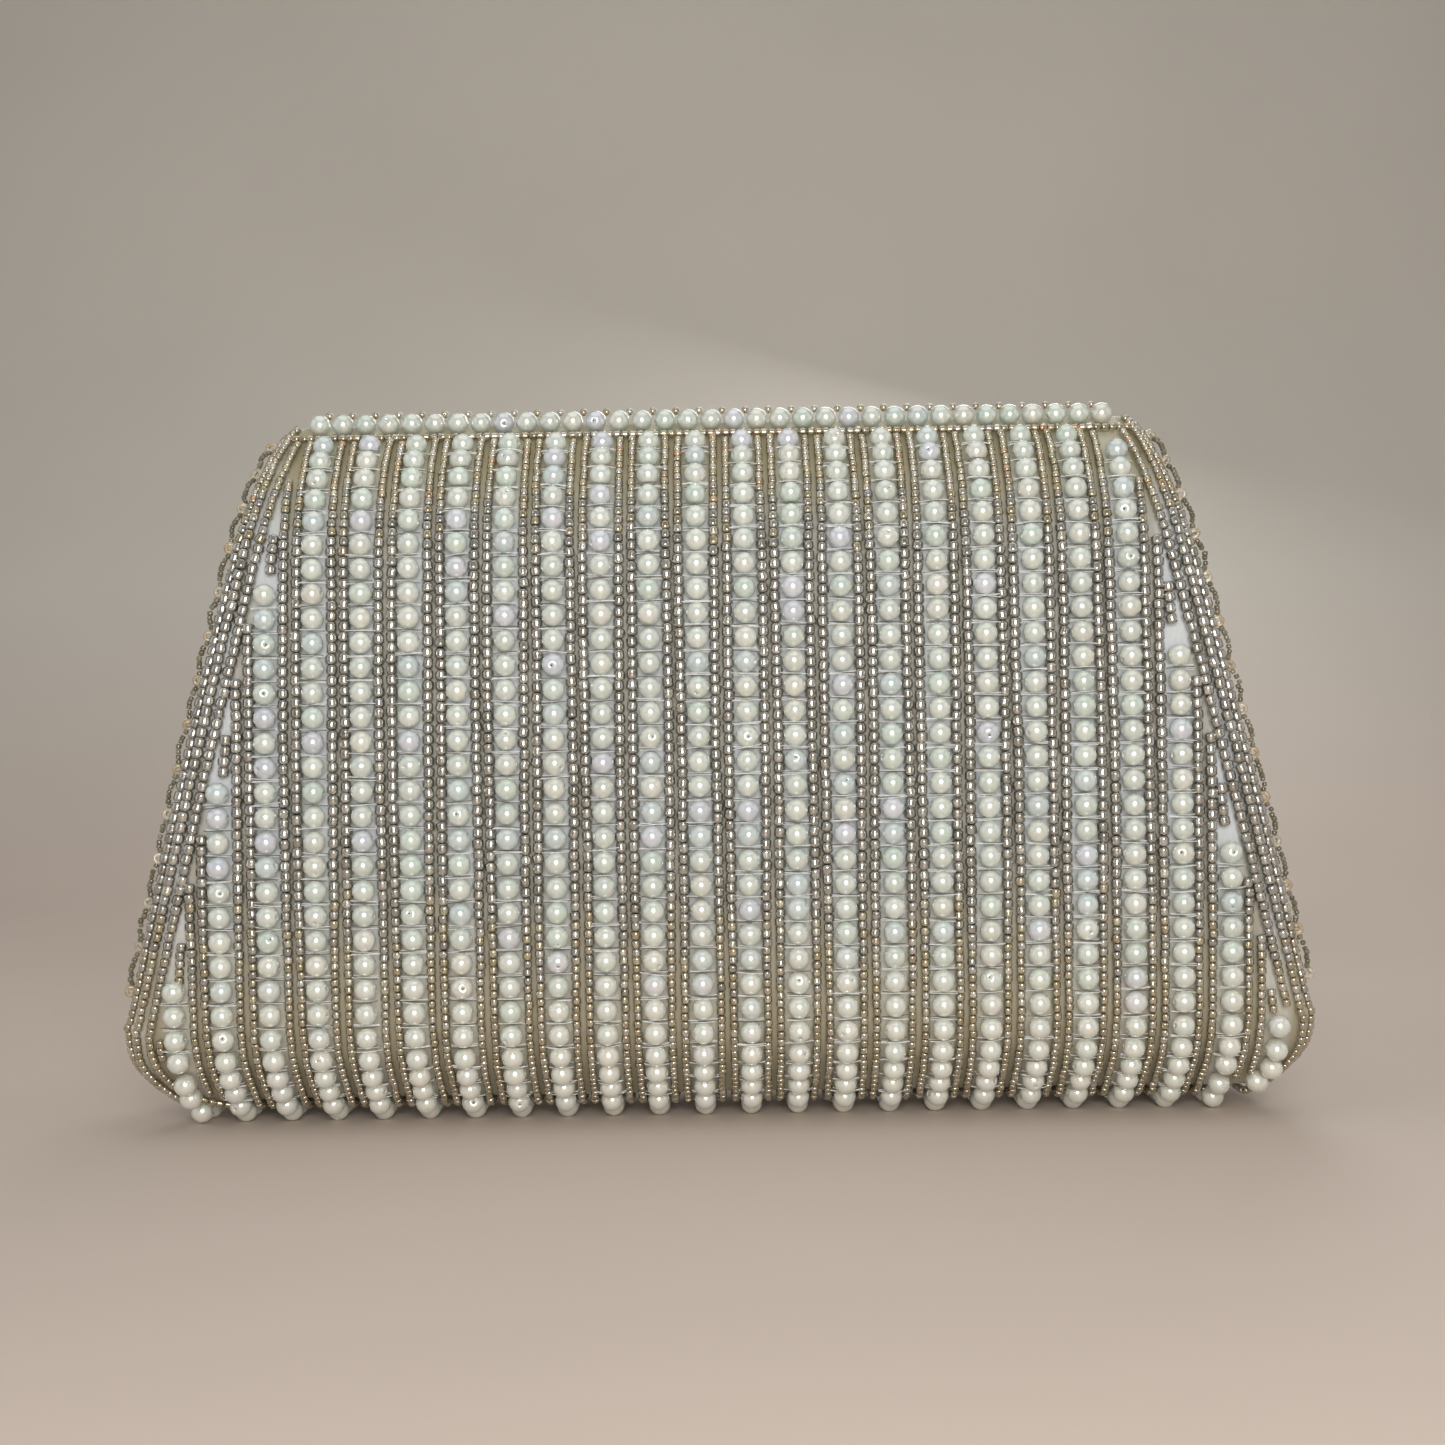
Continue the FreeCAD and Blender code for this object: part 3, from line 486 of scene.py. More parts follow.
def woven(name, colour, dark, scale, sheen, roughness=0.42, ribs=None, shade_and_tint_depths=None):
    """Satin or plain cloth: fine threads across each other, with soft cloudy shading.

    A cloth given its pair of depths is browner under the strands, a painted shadow of the beads,
    warmer low down, and golden near the fold, a painted shade; all this only on the back's side
    of a depth, which is given as the pair that these colours fade between.
    """
    made = material(
        name, Sheen_Weight=sheen, Sheen_Roughness=0.3, Sheen_Tint=(0.95, 0.96, 1.0),
        Specular_IOR_Level=0.5,
    )
    where = add(made, "TexCoord").outputs["Object"]
    warp = add(made, "TexWave", {"Vector": where, "Scale": scale, "Distortion": 0.6, "Detail": 1.0})
    warp.bands_direction = "X"
    weft = add(made, "TexWave", {"Vector": where, "Scale": ribs or scale, "Distortion": 0.5})
    weft.bands_direction = "Z"
    threads = mixed(made, "OVERLAY", 0.5, warp.outputs["Color"], weft.outputs["Color"])
    shade = ramp(made, threads, (0.0, dark), (0.8, colour))
    clouds = ramp(made, noise(made, 45, 4.0, (1, 1, 0.25)), (0.3, 0.9), (0.7, 1.0))
    colour = mixed(made, "MULTIPLY", 1.0, shade, clouds)
    if shade_and_tint_depths:
        axes = add(made, "SeparateXYZ", {"Vector": where}).outputs
        near, far = shade_and_tint_depths
        share = add(made, "MapRange", {"Value": axes["Z"], "From Min": 0.0, "From Max": 0.128})
        # warm is the colour low down; gold is painted shade near the fold
        warm, plain, gold = (0.90, 0.82, 0.68), (1.0, 1.0, 1.0), (0.84, 0.77, 0.56)
        tint_and_shade = ramp(made, share.outputs[0], (0.16, warm), (0.42, plain), (0.82, plain), (0.93, gold))
        # painted shadow of the strands: the cloth turns browner in the bands under each pair of strands
        aside = add(made, "Math", {0: axes["X"], 1: ROW_SHIFT}, operation="SUBTRACT")
        folded = add(made, "Math", {0: aside.outputs[0], 1: ROW_PITCH / 2}, operation="PINGPONG")
        from_row = {"Value": folded.outputs[0], "From Min": 1.8 * MM, "From Max": 3.2 * MM}
        under = add(made, "MapRange", from_row)
        brown = ramp(made, under.outputs[0], (0.0, plain), (1.0, (0.70, 0.65, 0.54)))
        tint_and_shade = mixed(made, "MULTIPLY", 1.0, tint_and_shade, brown)
        behind = add(made, "MapRange", {"Value": axes["Y"], "From Min": far, "From Max": near})
        colour = mixed(made, "MULTIPLY", behind.outputs[0], colour, tint_and_shade)
    feed(made, "Base Color", colour)
    feed(made, "Roughness", ramp(made, noise(made, 90, 2.0), (0.3, roughness), (0.7, roughness + 0.12)))
    bumped(made, threads, 0.35, 0.00015)
    return made


def board_material():
    """Pressed brown board with fibres."""
    made = material("pressed_board", Roughness=0.85)
    fibres = noise(made, 700, 5.0, (1, 1, 0.2))
    feed(made, "Base Color", ramp(made, fibres, (0.3, (0.46, 0.38, 0.27)), (0.7, (0.62, 0.54, 0.41))))
    bumped(made, fibres, 0.4, 0.0002)
    return made


def metal_material():
    """Brushed nickel."""
    made = material("nickel", Metallic=1.0)
    scratches = noise(made, 900, 4.0, (1, 1, 0.15))
    feed(made, "Base Color", ramp(made, scratches, (0.3, (0.56, 0.55, 0.53)), (0.7, (0.74, 0.73, 0.71))))
    feed(made, "Roughness", ramp(made, scratches, (0.35, 0.16), (0.7, 0.34)))
    bumped(made, scratches, 0.1, 0.0001)
    return made


def thread_material(name, dark, light):
    """Sewing thread, between two colours along its plies."""
    made = material(name, Sheen_Weight=0.3, Sheen_Roughness=0.4)
    plies = noise(made, 2500, 2.0)
    feed(made, "Base Color", ramp(made, plies, (0.3, dark), (0.7, light)))
    feed(made, "Roughness", ramp(made, plies, (0.3, 0.35), (0.7, 0.55)))
    bumped(made, plies, 0.3, 0.0001)
    return made


SATIN_LOOK = ((0.80, 0.83, 0.86), (0.60, 0.63, 0.66), 1500, 0.5)
SATIN = woven("pale_satin", *SATIN_LOOK, shade_and_tint_depths=(0.004, 0.009))
FLAP_SATIN = woven("flap_satin", *SATIN_LOOK, shade_and_tint_depths=(0.5, 0.6))
LINING = woven("lining_satin", (0.78, 0.72, 0.62), (0.60, 0.54, 0.45), 1200, 0.35)
RIBBON = woven("ribbed_ribbon", (0.74, 0.68, 0.57), (0.48, 0.43, 0.34), 900, 0.3, 0.5, ribs=260)
NACRE = pearl_material()
SILVER = seed_material("silver_lined_glass", 0.85, (0.13, 0.25))
GOLD = seed_material("gold_bead", 0.9, (0.18, 0.32))
GLASS = glass_material()
BOARD = board_material()
NICKEL = metal_material()
THREAD = thread_material("sewing_thread", (0.70, 0.72, 0.70), (0.95, 0.96, 0.95))
# the dark thread is a painted shade line in the gaps between pearls
PAINTED_SHADE_THREAD = thread_material("painted_shade_line_thread", (0.10, 0.09, 0.07), (0.20, 0.18, 0.14))


def finish_piece(piece, body, made, slot, *nodes):
    """Give a piece its material and body, and let it stand for CAD nodes."""
    piece.data.materials.clear()
    piece.data.materials.append(made)
    if body:
        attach(piece, body)
    if nodes:
        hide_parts(*nodes)


def beads(name, shape, spots, axes, scales, tones, body, made, slot, *nodes):
    """Scattered copies of a bead, finished alike."""
    for piece in scatter(name, shape, spots, axes, scales, tones):
        finish_piece(piece, body, made, slot, *nodes)


# -------- cloth


def ripple(x, along, size, wave=9 * MM):
    """A soft, uneven swell, never above zero, from a few sines across each other."""
    a = np.sin(x / wave + 1.3) * np.sin(along / (wave * 1.7) + 0.4)
    b = np.sin((x + along) / (wave * 2.3) + 2.1) * np.sin((x - 0.6 * along) / (wave * 1.1))
    c = np.sin(x / (wave * 0.43) + 0.7) * np.sin(along / (wave * 0.61) + 1.9)
    return -size * (1.2 + 0.5 * a + 0.45 * b + 0.25 * c) / 2.4


TURN_ANGLES = np.radians(np.linspace(12, 90, 6))
TURN_RADIUS = 1.1 * MM


def panel(along, columns, shape, inset, depth, turned, swell):
    """A grid of points on a panel, with its sides turned in by a small radius and then flat.

    inset narrows the panel, depth and swell sink it, and turned is the width of the flat part.
    """
    wide = half_width(at(along)[1], shape, inset)
    share = np.linspace(-1, 1, columns)
    x = wide[:, None] * share[None]
    deep = np.full_like(x, depth) - ripple(x, along[:, None], swell)
    if turned:
        radius = TURN_RADIUS
        out = np.sin(TURN_ANGLES) * radius
        sink = (1 - np.cos(TURN_ANGLES)) * radius
        out = np.concatenate([out, [radius, radius * 0.6, -turned]])
        sink = np.concatenate([sink, [2 * radius, 2.5 * radius, 2.6 * radius]])
        right = wide[:, None] - radius * 0.5 + out[None]
        side_deep = deep[:, -1:] + sink[None]
        x[:, -1:], x[:, :1] = wide[:, None] - radius * 0.5, -wide[:, None] + radius * 0.5
        x = np.concatenate([-right[:, ::-1], x, right], 1)
        deep = np.concatenate([side_deep[:, ::-1], deep, side_deep], 1)
    out = toward(np.interp(along, ALONG, HEADINGS) + 90)
    y, z = at(along)
    return np.stack([x, y[:, None] - deep * out[:, :1], z[:, None] - deep * out[:, 1:]], -1)


def between(low, high, step):
    """Evenly spaced places from low to high, about a step apart."""
    return np.linspace(low, high, max(2, int(round((high - low) / step)) + 1))


def sew(name, points, thickness, body, made, held, rests_on, *nodes):
    """A finished piece of cloth on a grid of points."""
    piece = cloth(name, points, thickness)
    finish_piece(piece, body, made, "lining_cloth" if made is LINING else "satin", *nodes)
    return piece


def outer_cloths():
    """The satin of the body, the flap and the fold: three sheets sewn edge to edge."""
    low, high = find(SEAM, "back"), find(SEAM, "flap")
    overlap, sunk, sunk_fold = 0.3 * MM, 0.05 * MM, 0.1 * MM
    swell, fold_swell = 0.22 * MM, 0.15 * MM
    body = panel(between(0, low, 0.7 * MM), 90, BAG, 0, sunk, 2.0 * MM, swell)
    sew("body_satin", body, SATIN_THICK, "bag", SATIN, "stretched",
        ["back_board", "front_board", "base_board"], "outer_cloth")
    flap = panel(between(high, END, 0.7 * MM), 90, FLAP, 0, sunk, 1.0 * MM, swell)
    sew("flap_satin", flap, SATIN_THICK, "flap", FLAP_SATIN, "stretched", ["flap_board"], "flap_cloth")
    fold = between(low - overlap, high + overlap, 0.2 * MM)
    fold = panel(fold, 90, BAG, 0, sunk_fold, 0, fold_swell)
    return sew("fold_satin", fold, SATIN_THICK, None, SATIN, "folded", ["body_satin", "flap_satin"])


def linings():
    """The lining of the body, the flap and the fold between them."""
    low, high = find(SHOULDER, "back"), find(122.5 * MM, "flap")
    hem, flap_hem, overlap = 0.3 * MM, 0.6 * MM, 0.5 * MM
    body = panel(between(hem, low, 1.0 * MM), 70, BAG, 2.6 * MM, 2.1 * MM, 0, 0.5 * MM)
    sew("body_lining_satin", body, LINING_THICK, "bag", LINING, "stretched",
        ["back_board", "front_board"], "body_lining")
    flap = between(high, END - flap_hem, 1.0 * MM)
    flap = panel(flap, 70, FLAP, 1.2 * MM, 1.85 * MM, 0, 0.3 * MM)
    sew("flap_lining_satin", flap, LINING_THICK, "flap", LINING, "stretched", ["flap_board"], "flap_lining")
    fold = between(low - overlap, high + overlap, 0.4 * MM)
    fold = panel(fold, 70, BAG, 2.8 * MM, 1.9 * MM, 0, 0.1 * MM)
    return sew("fold_lining_satin", fold, LINING_THICK, None, LINING, "folded",
               ["body_lining_satin", "flap_lining_satin"])


def gusset(side, label, node):
    """One cloth side, folded inwards, from the base's lining up to the mouth."""
    foot, depth_of_fold, sharpness = 6.6 * MM, 12 * MM, 0.06
    heights = between(foot, MOUTH_HEIGHT - 1 * MM, 1.5 * MM)
    share = np.linspace(-1, 1, 41)
    back_y = at(find(heights, "back"), -STACK)[0]
    front_y = at(find(heights, "front"), -STACK)[0]
    middle, half = (back_y + front_y) / 2, (front_y - back_y) / 2
    y = middle[:, None] + half[:, None] * share[None] * 0.995
    crease = 1 + sharpness - np.sqrt(share**2 + sharpness**2)
    crease = crease / crease.max()
    slack = 0.5 * MM * np.sin(heights[:, None] / (11 * MM) + 2 * share[None]) * (1 - share[None] ** 2)
    fold = depth_of_fold * crease[None] + slack
    start = half_width(heights, BAG, 3.3 * MM)
    x = side * (start[:, None] - fold)
    points = np.stack([x, y, np.repeat(heights[:, None], len(share), 1)], -1)
    if side < 0:
        points = points[:, ::-1]
    sew(label, points, SATIN_THICK, "bag", SATIN, "folded", ["body_lining_satin"], node)


def pocket():
    """The slip pocket: a patch sewn to the back's lining at its sides and foot, slack at the top."""
    low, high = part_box("slip_pocket")
    half, foot, head = high.x - 0.5 * MM, low.z + 0.5 * MM, high.z - 0.2 * MM
    heights = between(foot, head, 1.2 * MM)
    share = np.linspace(-1, 1, 61)
    wall = at(find(heights, "back"), -STACK - 0.3 * MM)[0]
    rise = np.clip((heights - foot) / (head - foot), 0, 1) ** 0.7
    belly = (1 - share**4) * (0.85 + 0.15 * np.cos(share * 7))
    clear_of_wall, most_slack = 0.4, 4.0
    slack = (clear_of_wall + most_slack * rise[:, None] * belly[None]) * MM
    deep = np.minimum(wall[:, None] + slack, high.y - 0.2 * MM)
    x = np.repeat(half * share[None], len(heights), 0)
    points = np.stack([x, deep, np.repeat(heights[:, None], len(share), 1)], -1)
    patch = cloth("pocket_patch", points[:, ::-1], LINING_THICK)
    finish_piece(patch, "bag", LINING, "lining_cloth", "slip_pocket")
    rolled = []
    for turn in np.radians(np.linspace(-60, 240, 13)):
        across = np.array([0, math.cos(turn) * 0.45 * MM, math.sin(turn) * 0.55 * MM])
        rolled.append(points[-1] + across - [0, 0, 0.2 * MM])
    tape = cloth("pocket_tape", np.array(rolled), 0.15 * MM)
    finish_piece(tape, "bag", RIBBON, "binding_tape", "pocket_binding")


def mouth_tape():
    """Ribbon folded over the upper edge of the front."""
    low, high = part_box("mouth_binding")
    wide = min(-low.x, high.x) - 0.2 * MM
    x = np.linspace(-wide, wide, 160)
    outer, inner, top = FRONT_DEPTH + 0.25 * MM, low.y - 0.35 * MM, high.z + 0.1 * MM
    bottom, middle, half = 92.5 * MM, (outer + inner) / 2, (outer - inner) / 2
    legs = np.linspace(bottom, top - half, 8)
    arc = np.radians(np.linspace(0, 180, 12)[1:-1])
    ring = [(outer, z) for z in legs]
    ring += [(middle + half * math.cos(a), legs[-1] + half * math.sin(a)) for a in arc]
    ring += [(inner, z) for z in legs[::-1]]
    ring = np.array(ring)
    wave = 0.08 * MM * np.sin(x / (3.1 * MM))
    points = np.stack([
        np.repeat(x[None], len(ring), 0),
        ring[:, :1] + wave[None] * 0.5,
        ring[:, 1:] + wave[None],
    ], -1)
    tape = cloth("mouth_tape", points, 0.2 * MM)
    finish_piece(tape, "bag", RIBBON, "binding_tape", "mouth_binding")


def side_piping(side, label, node):
    """A twisted cord laid in a side seam."""
    beside, sunk, radius, twist = 0.55 * MM, 1.5 * MM, 0.45 * MM, 2.4 * MM
    along = between(0.5 * MM, find(SHOULDER, "back"), 0.5 * MM)
    x = side * (half_width(at(along)[1]) + beside)
    y, z = at(along, -sunk)
    turns = float(along[-1] - along[0]) / twist
    cord = tubes(label, [np.stack([x, y, z], -1)], radius, 10, 0.16, turns)
    finish_piece(cord, "bag", SATIN, "satin", node)


# -------- beads


def pick(count, choices):
    """Colours drawn by share from (share, colour) pairs, each varied a little."""
    shares = np.array([share for share, _ in choices])
    colours = np.array([colour for _, colour in choices])
    chosen = colours[random.choice(len(choices), count, p=shares / shares.sum())]
    return np.clip(chosen * random.uniform(0.94, 1.04, (count, 1)), 0, 1)


PEARL_TONES = [
    (0.54, (0.78, 0.81, 0.76)),
    (0.15, (0.81, 0.81, 0.75)),
    (0.13, (0.73, 0.80, 0.74)),
    (0.10, (0.75, 0.76, 0.83)),
    (0.08, (0.70, 0.76, 0.77)),
]
WARM_PEARL = np.array([0.92, 0.89, 0.82])
SILVER_TONES = [(0.7, (0.52, 0.50, 0.45)), (0.2, (0.62, 0.60, 0.55)), (0.1, (0.42, 0.40, 0.35))]
CHAMPAGNE_TONES = [(0.6, (0.60, 0.54, 0.41)), (0.2, (0.54, 0.47, 0.33)), (0.2, (0.70, 0.66, 0.56))]
COPPER_TONES = [(0.7, (0.62, 0.52, 0.35)), (0.3, (0.66, 0.46, 0.30))]
OLIVE_TONES = [(0.6, (0.26, 0.24, 0.15)), (0.4, (0.38, 0.34, 0.24))]
CLEAR_TONES = [(0.6, (0.78, 0.70, 0.56)), (0.4, (0.70, 0.58, 0.40))]


def warm_share(z):
    """How far the beads have turned from silver to champagne: at the bottom and near the fold, partly their
    own colour and partly painted shade where the panel turns away from the light.
    """
    low_from, low_over, high_from, high_over = 46 * MM, 26 * MM, 100 * MM, 16 * MM
    low = np.clip((low_from - z) / low_over, 0, 1)
    high = np.clip((z - high_from) / high_over, 0, 1)
    return np.maximum(low, high)


def bead_tones(z):
    """A colour for each seed bead: silver in the middle of a panel, champagne near its ends; the champagne,
    and the copper among it near the fold, is partly the beads' own colour and partly painted shade.
    """
    count = len(z)
    copper_from, copper_share = 110 * MM, 0.2
    warm = warm_share(z) > random.uniform(0.05, 0.95, count)
    tones = pick(count, SILVER_TONES)
    # champagne and copper towards the ends: partly the beads' own colour, partly painted shade
    tones[warm] = pick(int(warm.sum()), CHAMPAGNE_TONES)
    copper = warm & (z > copper_from) & (random.random(count) < copper_share)
    tones[copper] = pick(int(copper.sum()), COPPER_TONES)
    return tones


def bead_pitch(z):
    """Seed beads are longer in the middle of a panel and small and round towards its ends."""
    longest, shorter_by = 1.86, 0.46
    return (longest - shorter_by * np.clip(warm_share(z) * 1.6, 0, 1)) * MM


def pearl_tones(z):
    """A colour for each pearl, warmer low down."""
    warm_from, warm_over, most = 40 * MM, 30 * MM, 0.75
    tones = pick(len(z), PEARL_TONES)
    warm = np.clip((warm_from - z) / warm_over, 0, 1)[:, None] * most
    return tones * (1 - warm) + WARM_PEARL * warm


PEARL_SHAPE = pearl_shape()
SEED_SHAPE = barrel_shape(1.0)


def pearls(node, body, name):
    """The pearls of one CAD node, each a little uneven, some with the thread hole to the front."""
    spots = centres(node)
    count = len(spots)
    axes = np.tile([[1.0, 0, 0]], (count, 1)) + random.normal(0, 0.18, (count, 3))
    outwards = random.random(count) < 0.1
    facing = np.where(spots[:, 1:2] < 0, -1.0, 1.0) * [[0, 1.0, 0]]
    axes[outwards] = facing[outwards] + random.normal(0, 0.35, (int(outwards.sum()), 3))
    size = PEARL / 2 * random.uniform(0.98, 1.01, (count, 1)) * [[1, 1, 1]]
    size[:, 2:] *= random.uniform(0.96, 1.0, (count, 1))
    beads(name, PEARL_SHAPE, spots, axes, size, pearl_tones(spots[:, 2]), body, NACRE, "pearl", node)
    return spots


def bead_run(path, wobble=0.05 * MM):
    """Bead centres and directions along a dense path, by a pitch that depends on the height."""
    reach = 0.3 * MM
    walked = distances(path)
    where, here = [], random.uniform(0, 1) * MM
    while here < walked[-1]:
        where.append(here)
        z = np.interp(here, walked, path[:, 2])
        here += float(bead_pitch(z)) * random.uniform(0.95, 1.06)
    where = np.array(where)
    spots, after, before = (
        np.stack([np.interp(where + shift, walked, path[:, axis]) for axis in range(3)], -1)
        for shift in (0, reach, -reach)
    )
    return spots + random.normal(0, wobble, spots.shape) * [[1, 0.3, 0.3]], after - before


def seed_beads(paths, body, name, *nodes):
    """Seed beads threaded along paths, narrower where they are champagne."""
    narrowing = 0.26
    runs = [bead_run(path) for path in paths if len(path) > 3]
    spots = np.concatenate([run[0] for run in runs])
    axes = np.concatenate([run[1] for run in runs])
    axes = axes / np.linalg.norm(axes, axis=1, keepdims=True) + random.normal(0, 0.07, axes.shape)
    count = len(spots)
    z = spots[:, 2]
    length = bead_pitch(z) * random.uniform(0.90, 1.0, count)
    wide = BEAD / 2 * random.uniform(0.90, 1.0, count) * (1 - narrowing * warm_share(z))
    scales = np.stack([wide, wide, length], -1)
    beads(name, SEED_SHAPE, spots, axes, scales, bead_tones(z), body, SILVER, "seed_bead", *nodes)


def strand_paths(low, high, shape):
    """The paths of the strands on both sides of every pearl row, between two places on the line."""
    along = between(low, high, PATH_STEP)
    y, z = at(along, SEED_REST)
    paths = []
    for row in ROWS:
        middle = ROW_SHIFT + row * ROW_PITCH
        for x in (middle - STRAND_OFFSET, middle + STRAND_OFFSET):
            sway = 0.12 * MM * np.sin(along / (17 * MM) + x / (3 * MM))
            inside = room(x, at(along)[1], shape) > ROW_MARGIN
            paths.append(np.stack([x + sway, y, z], -1)[inside])
    return paths


def short_strands(part, shape, body, name):
    """A short strand in the gap past the end of each shortened pearl row."""
    paths = []
    aside, lowest, too_near, nearest = 0.85 * MM, 19.6 * MM, 5.8 * MM, 4.95 * MM
    heights = between(lowest, SHOULDER, PATH_STEP)
    for row in ROWS:
        x = ROW_SHIFT + row * ROW_PITCH
        beside = x - math.copysign(aside, x)
        gap = heights[(room(x, heights, shape) < too_near) & (room(beside, heights, shape) > nearest)]
        if len(gap) < 8:
            continue
        y, z = at(find(gap, part), SEED_REST)
        lean = np.linspace(0, -math.copysign(0.5 * MM, x), len(gap))
        paths.append(np.stack([beside + lean, y, z], -1))
    seed_beads(paths, body, name)


# how far in from the outline and how deep each edge row lies; the last is on the turned edge
EDGE_ROWS = [(1.25 * MM, 0.0), (3.45 * MM, 0.0), (-0.6 * MM, 1.75 * MM)]


def edge_paths(low, high):
    """Paths parallel to the bag's two side edges."""
    along = between(low, high, PATH_STEP)
    z_here = at(along)[1]
    paths = []
    for inset, sink in EDGE_ROWS:
        y, z = at(along, SEED_REST - sink)
        for side in (-1, 1):
            paths.append(np.stack([side * half_width(z_here, BAG, inset), y, z], -1))
    return paths


def flap_edge_paths():
    """Paths round the flap's sides and lower edge."""
    paths = []
    flat_half, bottom, corner = FLAP
    for inset, sink in EDGE_ROWS:
        radius = corner - inset
        heights = between(bottom + corner + radius * math.sin(SIDE_LEAN), SHOULDER, PATH_STEP)
        side_x = half_width(heights, FLAP, inset)
        angles = np.radians(np.linspace(0, 90 + math.degrees(SIDE_LEAN), 80))
        arc_x = flat_half + radius * np.sin(angles)
        arc_z = bottom + corner - radius * np.cos(angles)
        flat_x = between(0, flat_half, PATH_STEP)
        x = np.concatenate([flat_x, arc_x[1:], side_x[1:]])
        height = np.concatenate([np.full(len(flat_x), bottom + inset), arc_z[1:], heights[1:]])
        x = np.concatenate([-x[::-1], x[1:]])
        height = np.concatenate([height[::-1], height[1:]])
        y, z = at(find(np.maximum(height, bottom), "flap"), SEED_REST - sink)
        paths.append(np.stack([x, y, z + np.minimum(height - bottom, 0)], -1))
    return paths


# row, height of its first pearl here if it has none above, and distance kept from the outline
CORNER_ROWS = [(11, 17.4 * MM, 4.4 * MM), (10, None, 5.0 * MM), (-12, None, 3.4 * MM)]


def corner_pearls(back):
    """The outermost rows' last pearls, which go on round the lower corners."""
    spots = []
    first_step, step, apart = 4.25 * MM, 4.3 * MM, 4.4 * MM
    for row, top, margin in CORNER_ROWS:
        x = ROW_SHIFT + row * ROW_PITCH
        placed = back[np.abs(back[:, 0] - x) < 0.5 * MM]
        if top is None:
            top = placed[:, 2].min()
        start = float(find(top, "back")) - (first_step if len(placed) else 0)
        along = np.arange(start, BASE - 5 * MM, -step)
        y, z = at(along, PEARL_REST)
        wide = np.minimum(abs(x), half_width(at(along)[1]) - margin)
        near = abs(x) - ROW_PITCH + apart
        spots += [spot for spot in zip(math.copysign(1, x) * wide, y, z) if abs(spot[0]) > near]
    spots = np.array(spots)
    axes = np.tile([[1.0, 0, 0.1]], (len(spots), 1))
    tones = pearl_tones(spots[:, 2])
    beads("corner_pearls", PEARL_SHAPE, spots, axes, PEARL / 2, tones, "bag", NACRE, "pearl")


def row_threads(spots, body, name):
    """One dark thread, a painted shade line where two pearls meet, and two or three pale fine threads
    across each gap between two pearls of a row.
    """
    pale, dark = [], []
    same_row, neighbours = 0.5 * MM, 5 * MM
    spots = spots[np.lexsort((spots[:, 2], np.round(spots[:, 0], 4)))]
    for one, other in zip(spots, spots[1:]):
        gap = other - one
        if abs(gap[0]) > same_row or np.linalg.norm(gap) > neighbours:
            continue
        middle, way = (one + other) / 2, gap / np.linalg.norm(gap)
        out = np.cross(way, [1.0, 0, 0])
        out *= np.sign(out[1] * one[1]) or 1
        for number in range(int(random.integers(3, 5))):
            lift, slip = random.uniform(-0.5, 0.5), random.uniform(-0.35, 0.35)
            slope = random.normal(0, 0.12)
            reach = random.uniform(1.9, 2.6) * MM
            share = np.linspace(-1, 1, 5)
            bow = (1 - share**2) * 0.35 * MM
            path = middle + share[:, None] * reach * [[1, 0, 0]]
            path = path + way * ((slip + slope * share) * MM)[:, None]
            path = path + out * (lift * MM + bow - 0.2 * MM)[:, None]
            # the first path of each gap is the dark thread, a painted shade line
            (pale if number else dark).append(path)
    finish_piece(tubes(name, pale, 0.075 * MM, 4), body, THREAD, "seed_bead")
    finish_piece(tubes(f"{name}_dark", dark, 0.085 * MM, 4), body, PAINTED_SHADE_THREAD, "seed_bead")


def fold_row():
    """The pearls along the fold, gold beads between them and the strand of seed beads below."""
    pearls("fold_pearls", "bag", "fold_row_pearls")
    gold = centres("fold_accent_beads")
    size = 0.7 * MM * random.uniform(0.9, 1.0, (len(gold), 1))
    axes = random.normal(0, 1, (len(gold), 3))
    beads("fold_gold_beads", PEARL_SHAPE, gold, axes, size, pick(len(gold), CHAMPAGNE_TONES),
          "bag", GOLD, "gold_bead", "fold_accent_beads")
    low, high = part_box("fold_seed_strand")
    middle = (low + high) / 2
    beyond = 2.6 * MM
    x = between(low.x - beyond, high.x + beyond, 0.5 * MM)
    path = np.stack([x, np.full(len(x), middle.y), np.full(len(x), middle.z)], -1)
    seed_beads([path], "bag", "fold_seed_beads", "fold_seed_strand")


def picot_edging(beads_node, loops_node, body, name):
    """Glass picot beads with a visible hole, and a scallop of dark beads between each two."""
    spots = centres(beads_node)
    order = np.lexsort((spots[:, 2], np.sign(spots[:, 0])))
    if body == "flap":
        order = np.argsort(np.arctan2(spots[:, 0], 75 * MM - spots[:, 2]))
    spots = spots[order]
    count = len(spots)
    out = spots - [[0, 0, 60 * MM]]
    out[:, 1] = 0
    out /= np.linalg.norm(out, axis=1, keepdims=True)
    axes = np.tile([[0, 1.0, 0]], (count, 1)) + random.normal(0, 0.35, (count, 3))
    ring = barrel_shape(0.8, sides=12, hole=0.42, shoulder=0.8, flat=0.55)
    size = 1.15 * MM * random.uniform(0.9, 1.0, (count, 1))
    beads(f"{name}_picots", ring, spots, axes, size, pick(count, CLEAR_TONES),
          body, GLASS, "gold_bead", beads_node)
    dark, ways = [], []
    longest, crest, curve = 9.5 * MM, 0.7, 5.2
    for one, other, away in zip(spots, spots[1:], out):
        if np.linalg.norm(other - one) > longest:
            continue
        for share in np.linspace(0.18, 0.82, 7):
            bow = (crest - curve * (share - 0.5) ** 2) * MM
            dark.append(one + (other - one) * share + away * bow)
            ways.append(other - one - away * 2 * curve * MM * (share - 0.5))
    dark = np.array(dark) + random.normal(0, 0.08 * MM, (len(dark), 3))
    ways = np.array(ways)
    ways = ways / np.linalg.norm(ways, axis=1, keepdims=True) + random.normal(0, 0.15, ways.shape)
    scales = np.array([[0.5, 0.5, 0.86]]) * MM * random.uniform(0.85, 1.05, (len(dark), 1))
    beads(f"{name}_scallop_beads", SEED_SHAPE, dark, ways, scales, pick(len(dark), OLIVE_TONES),
          body, GLASS, "dark_bead", loops_node)


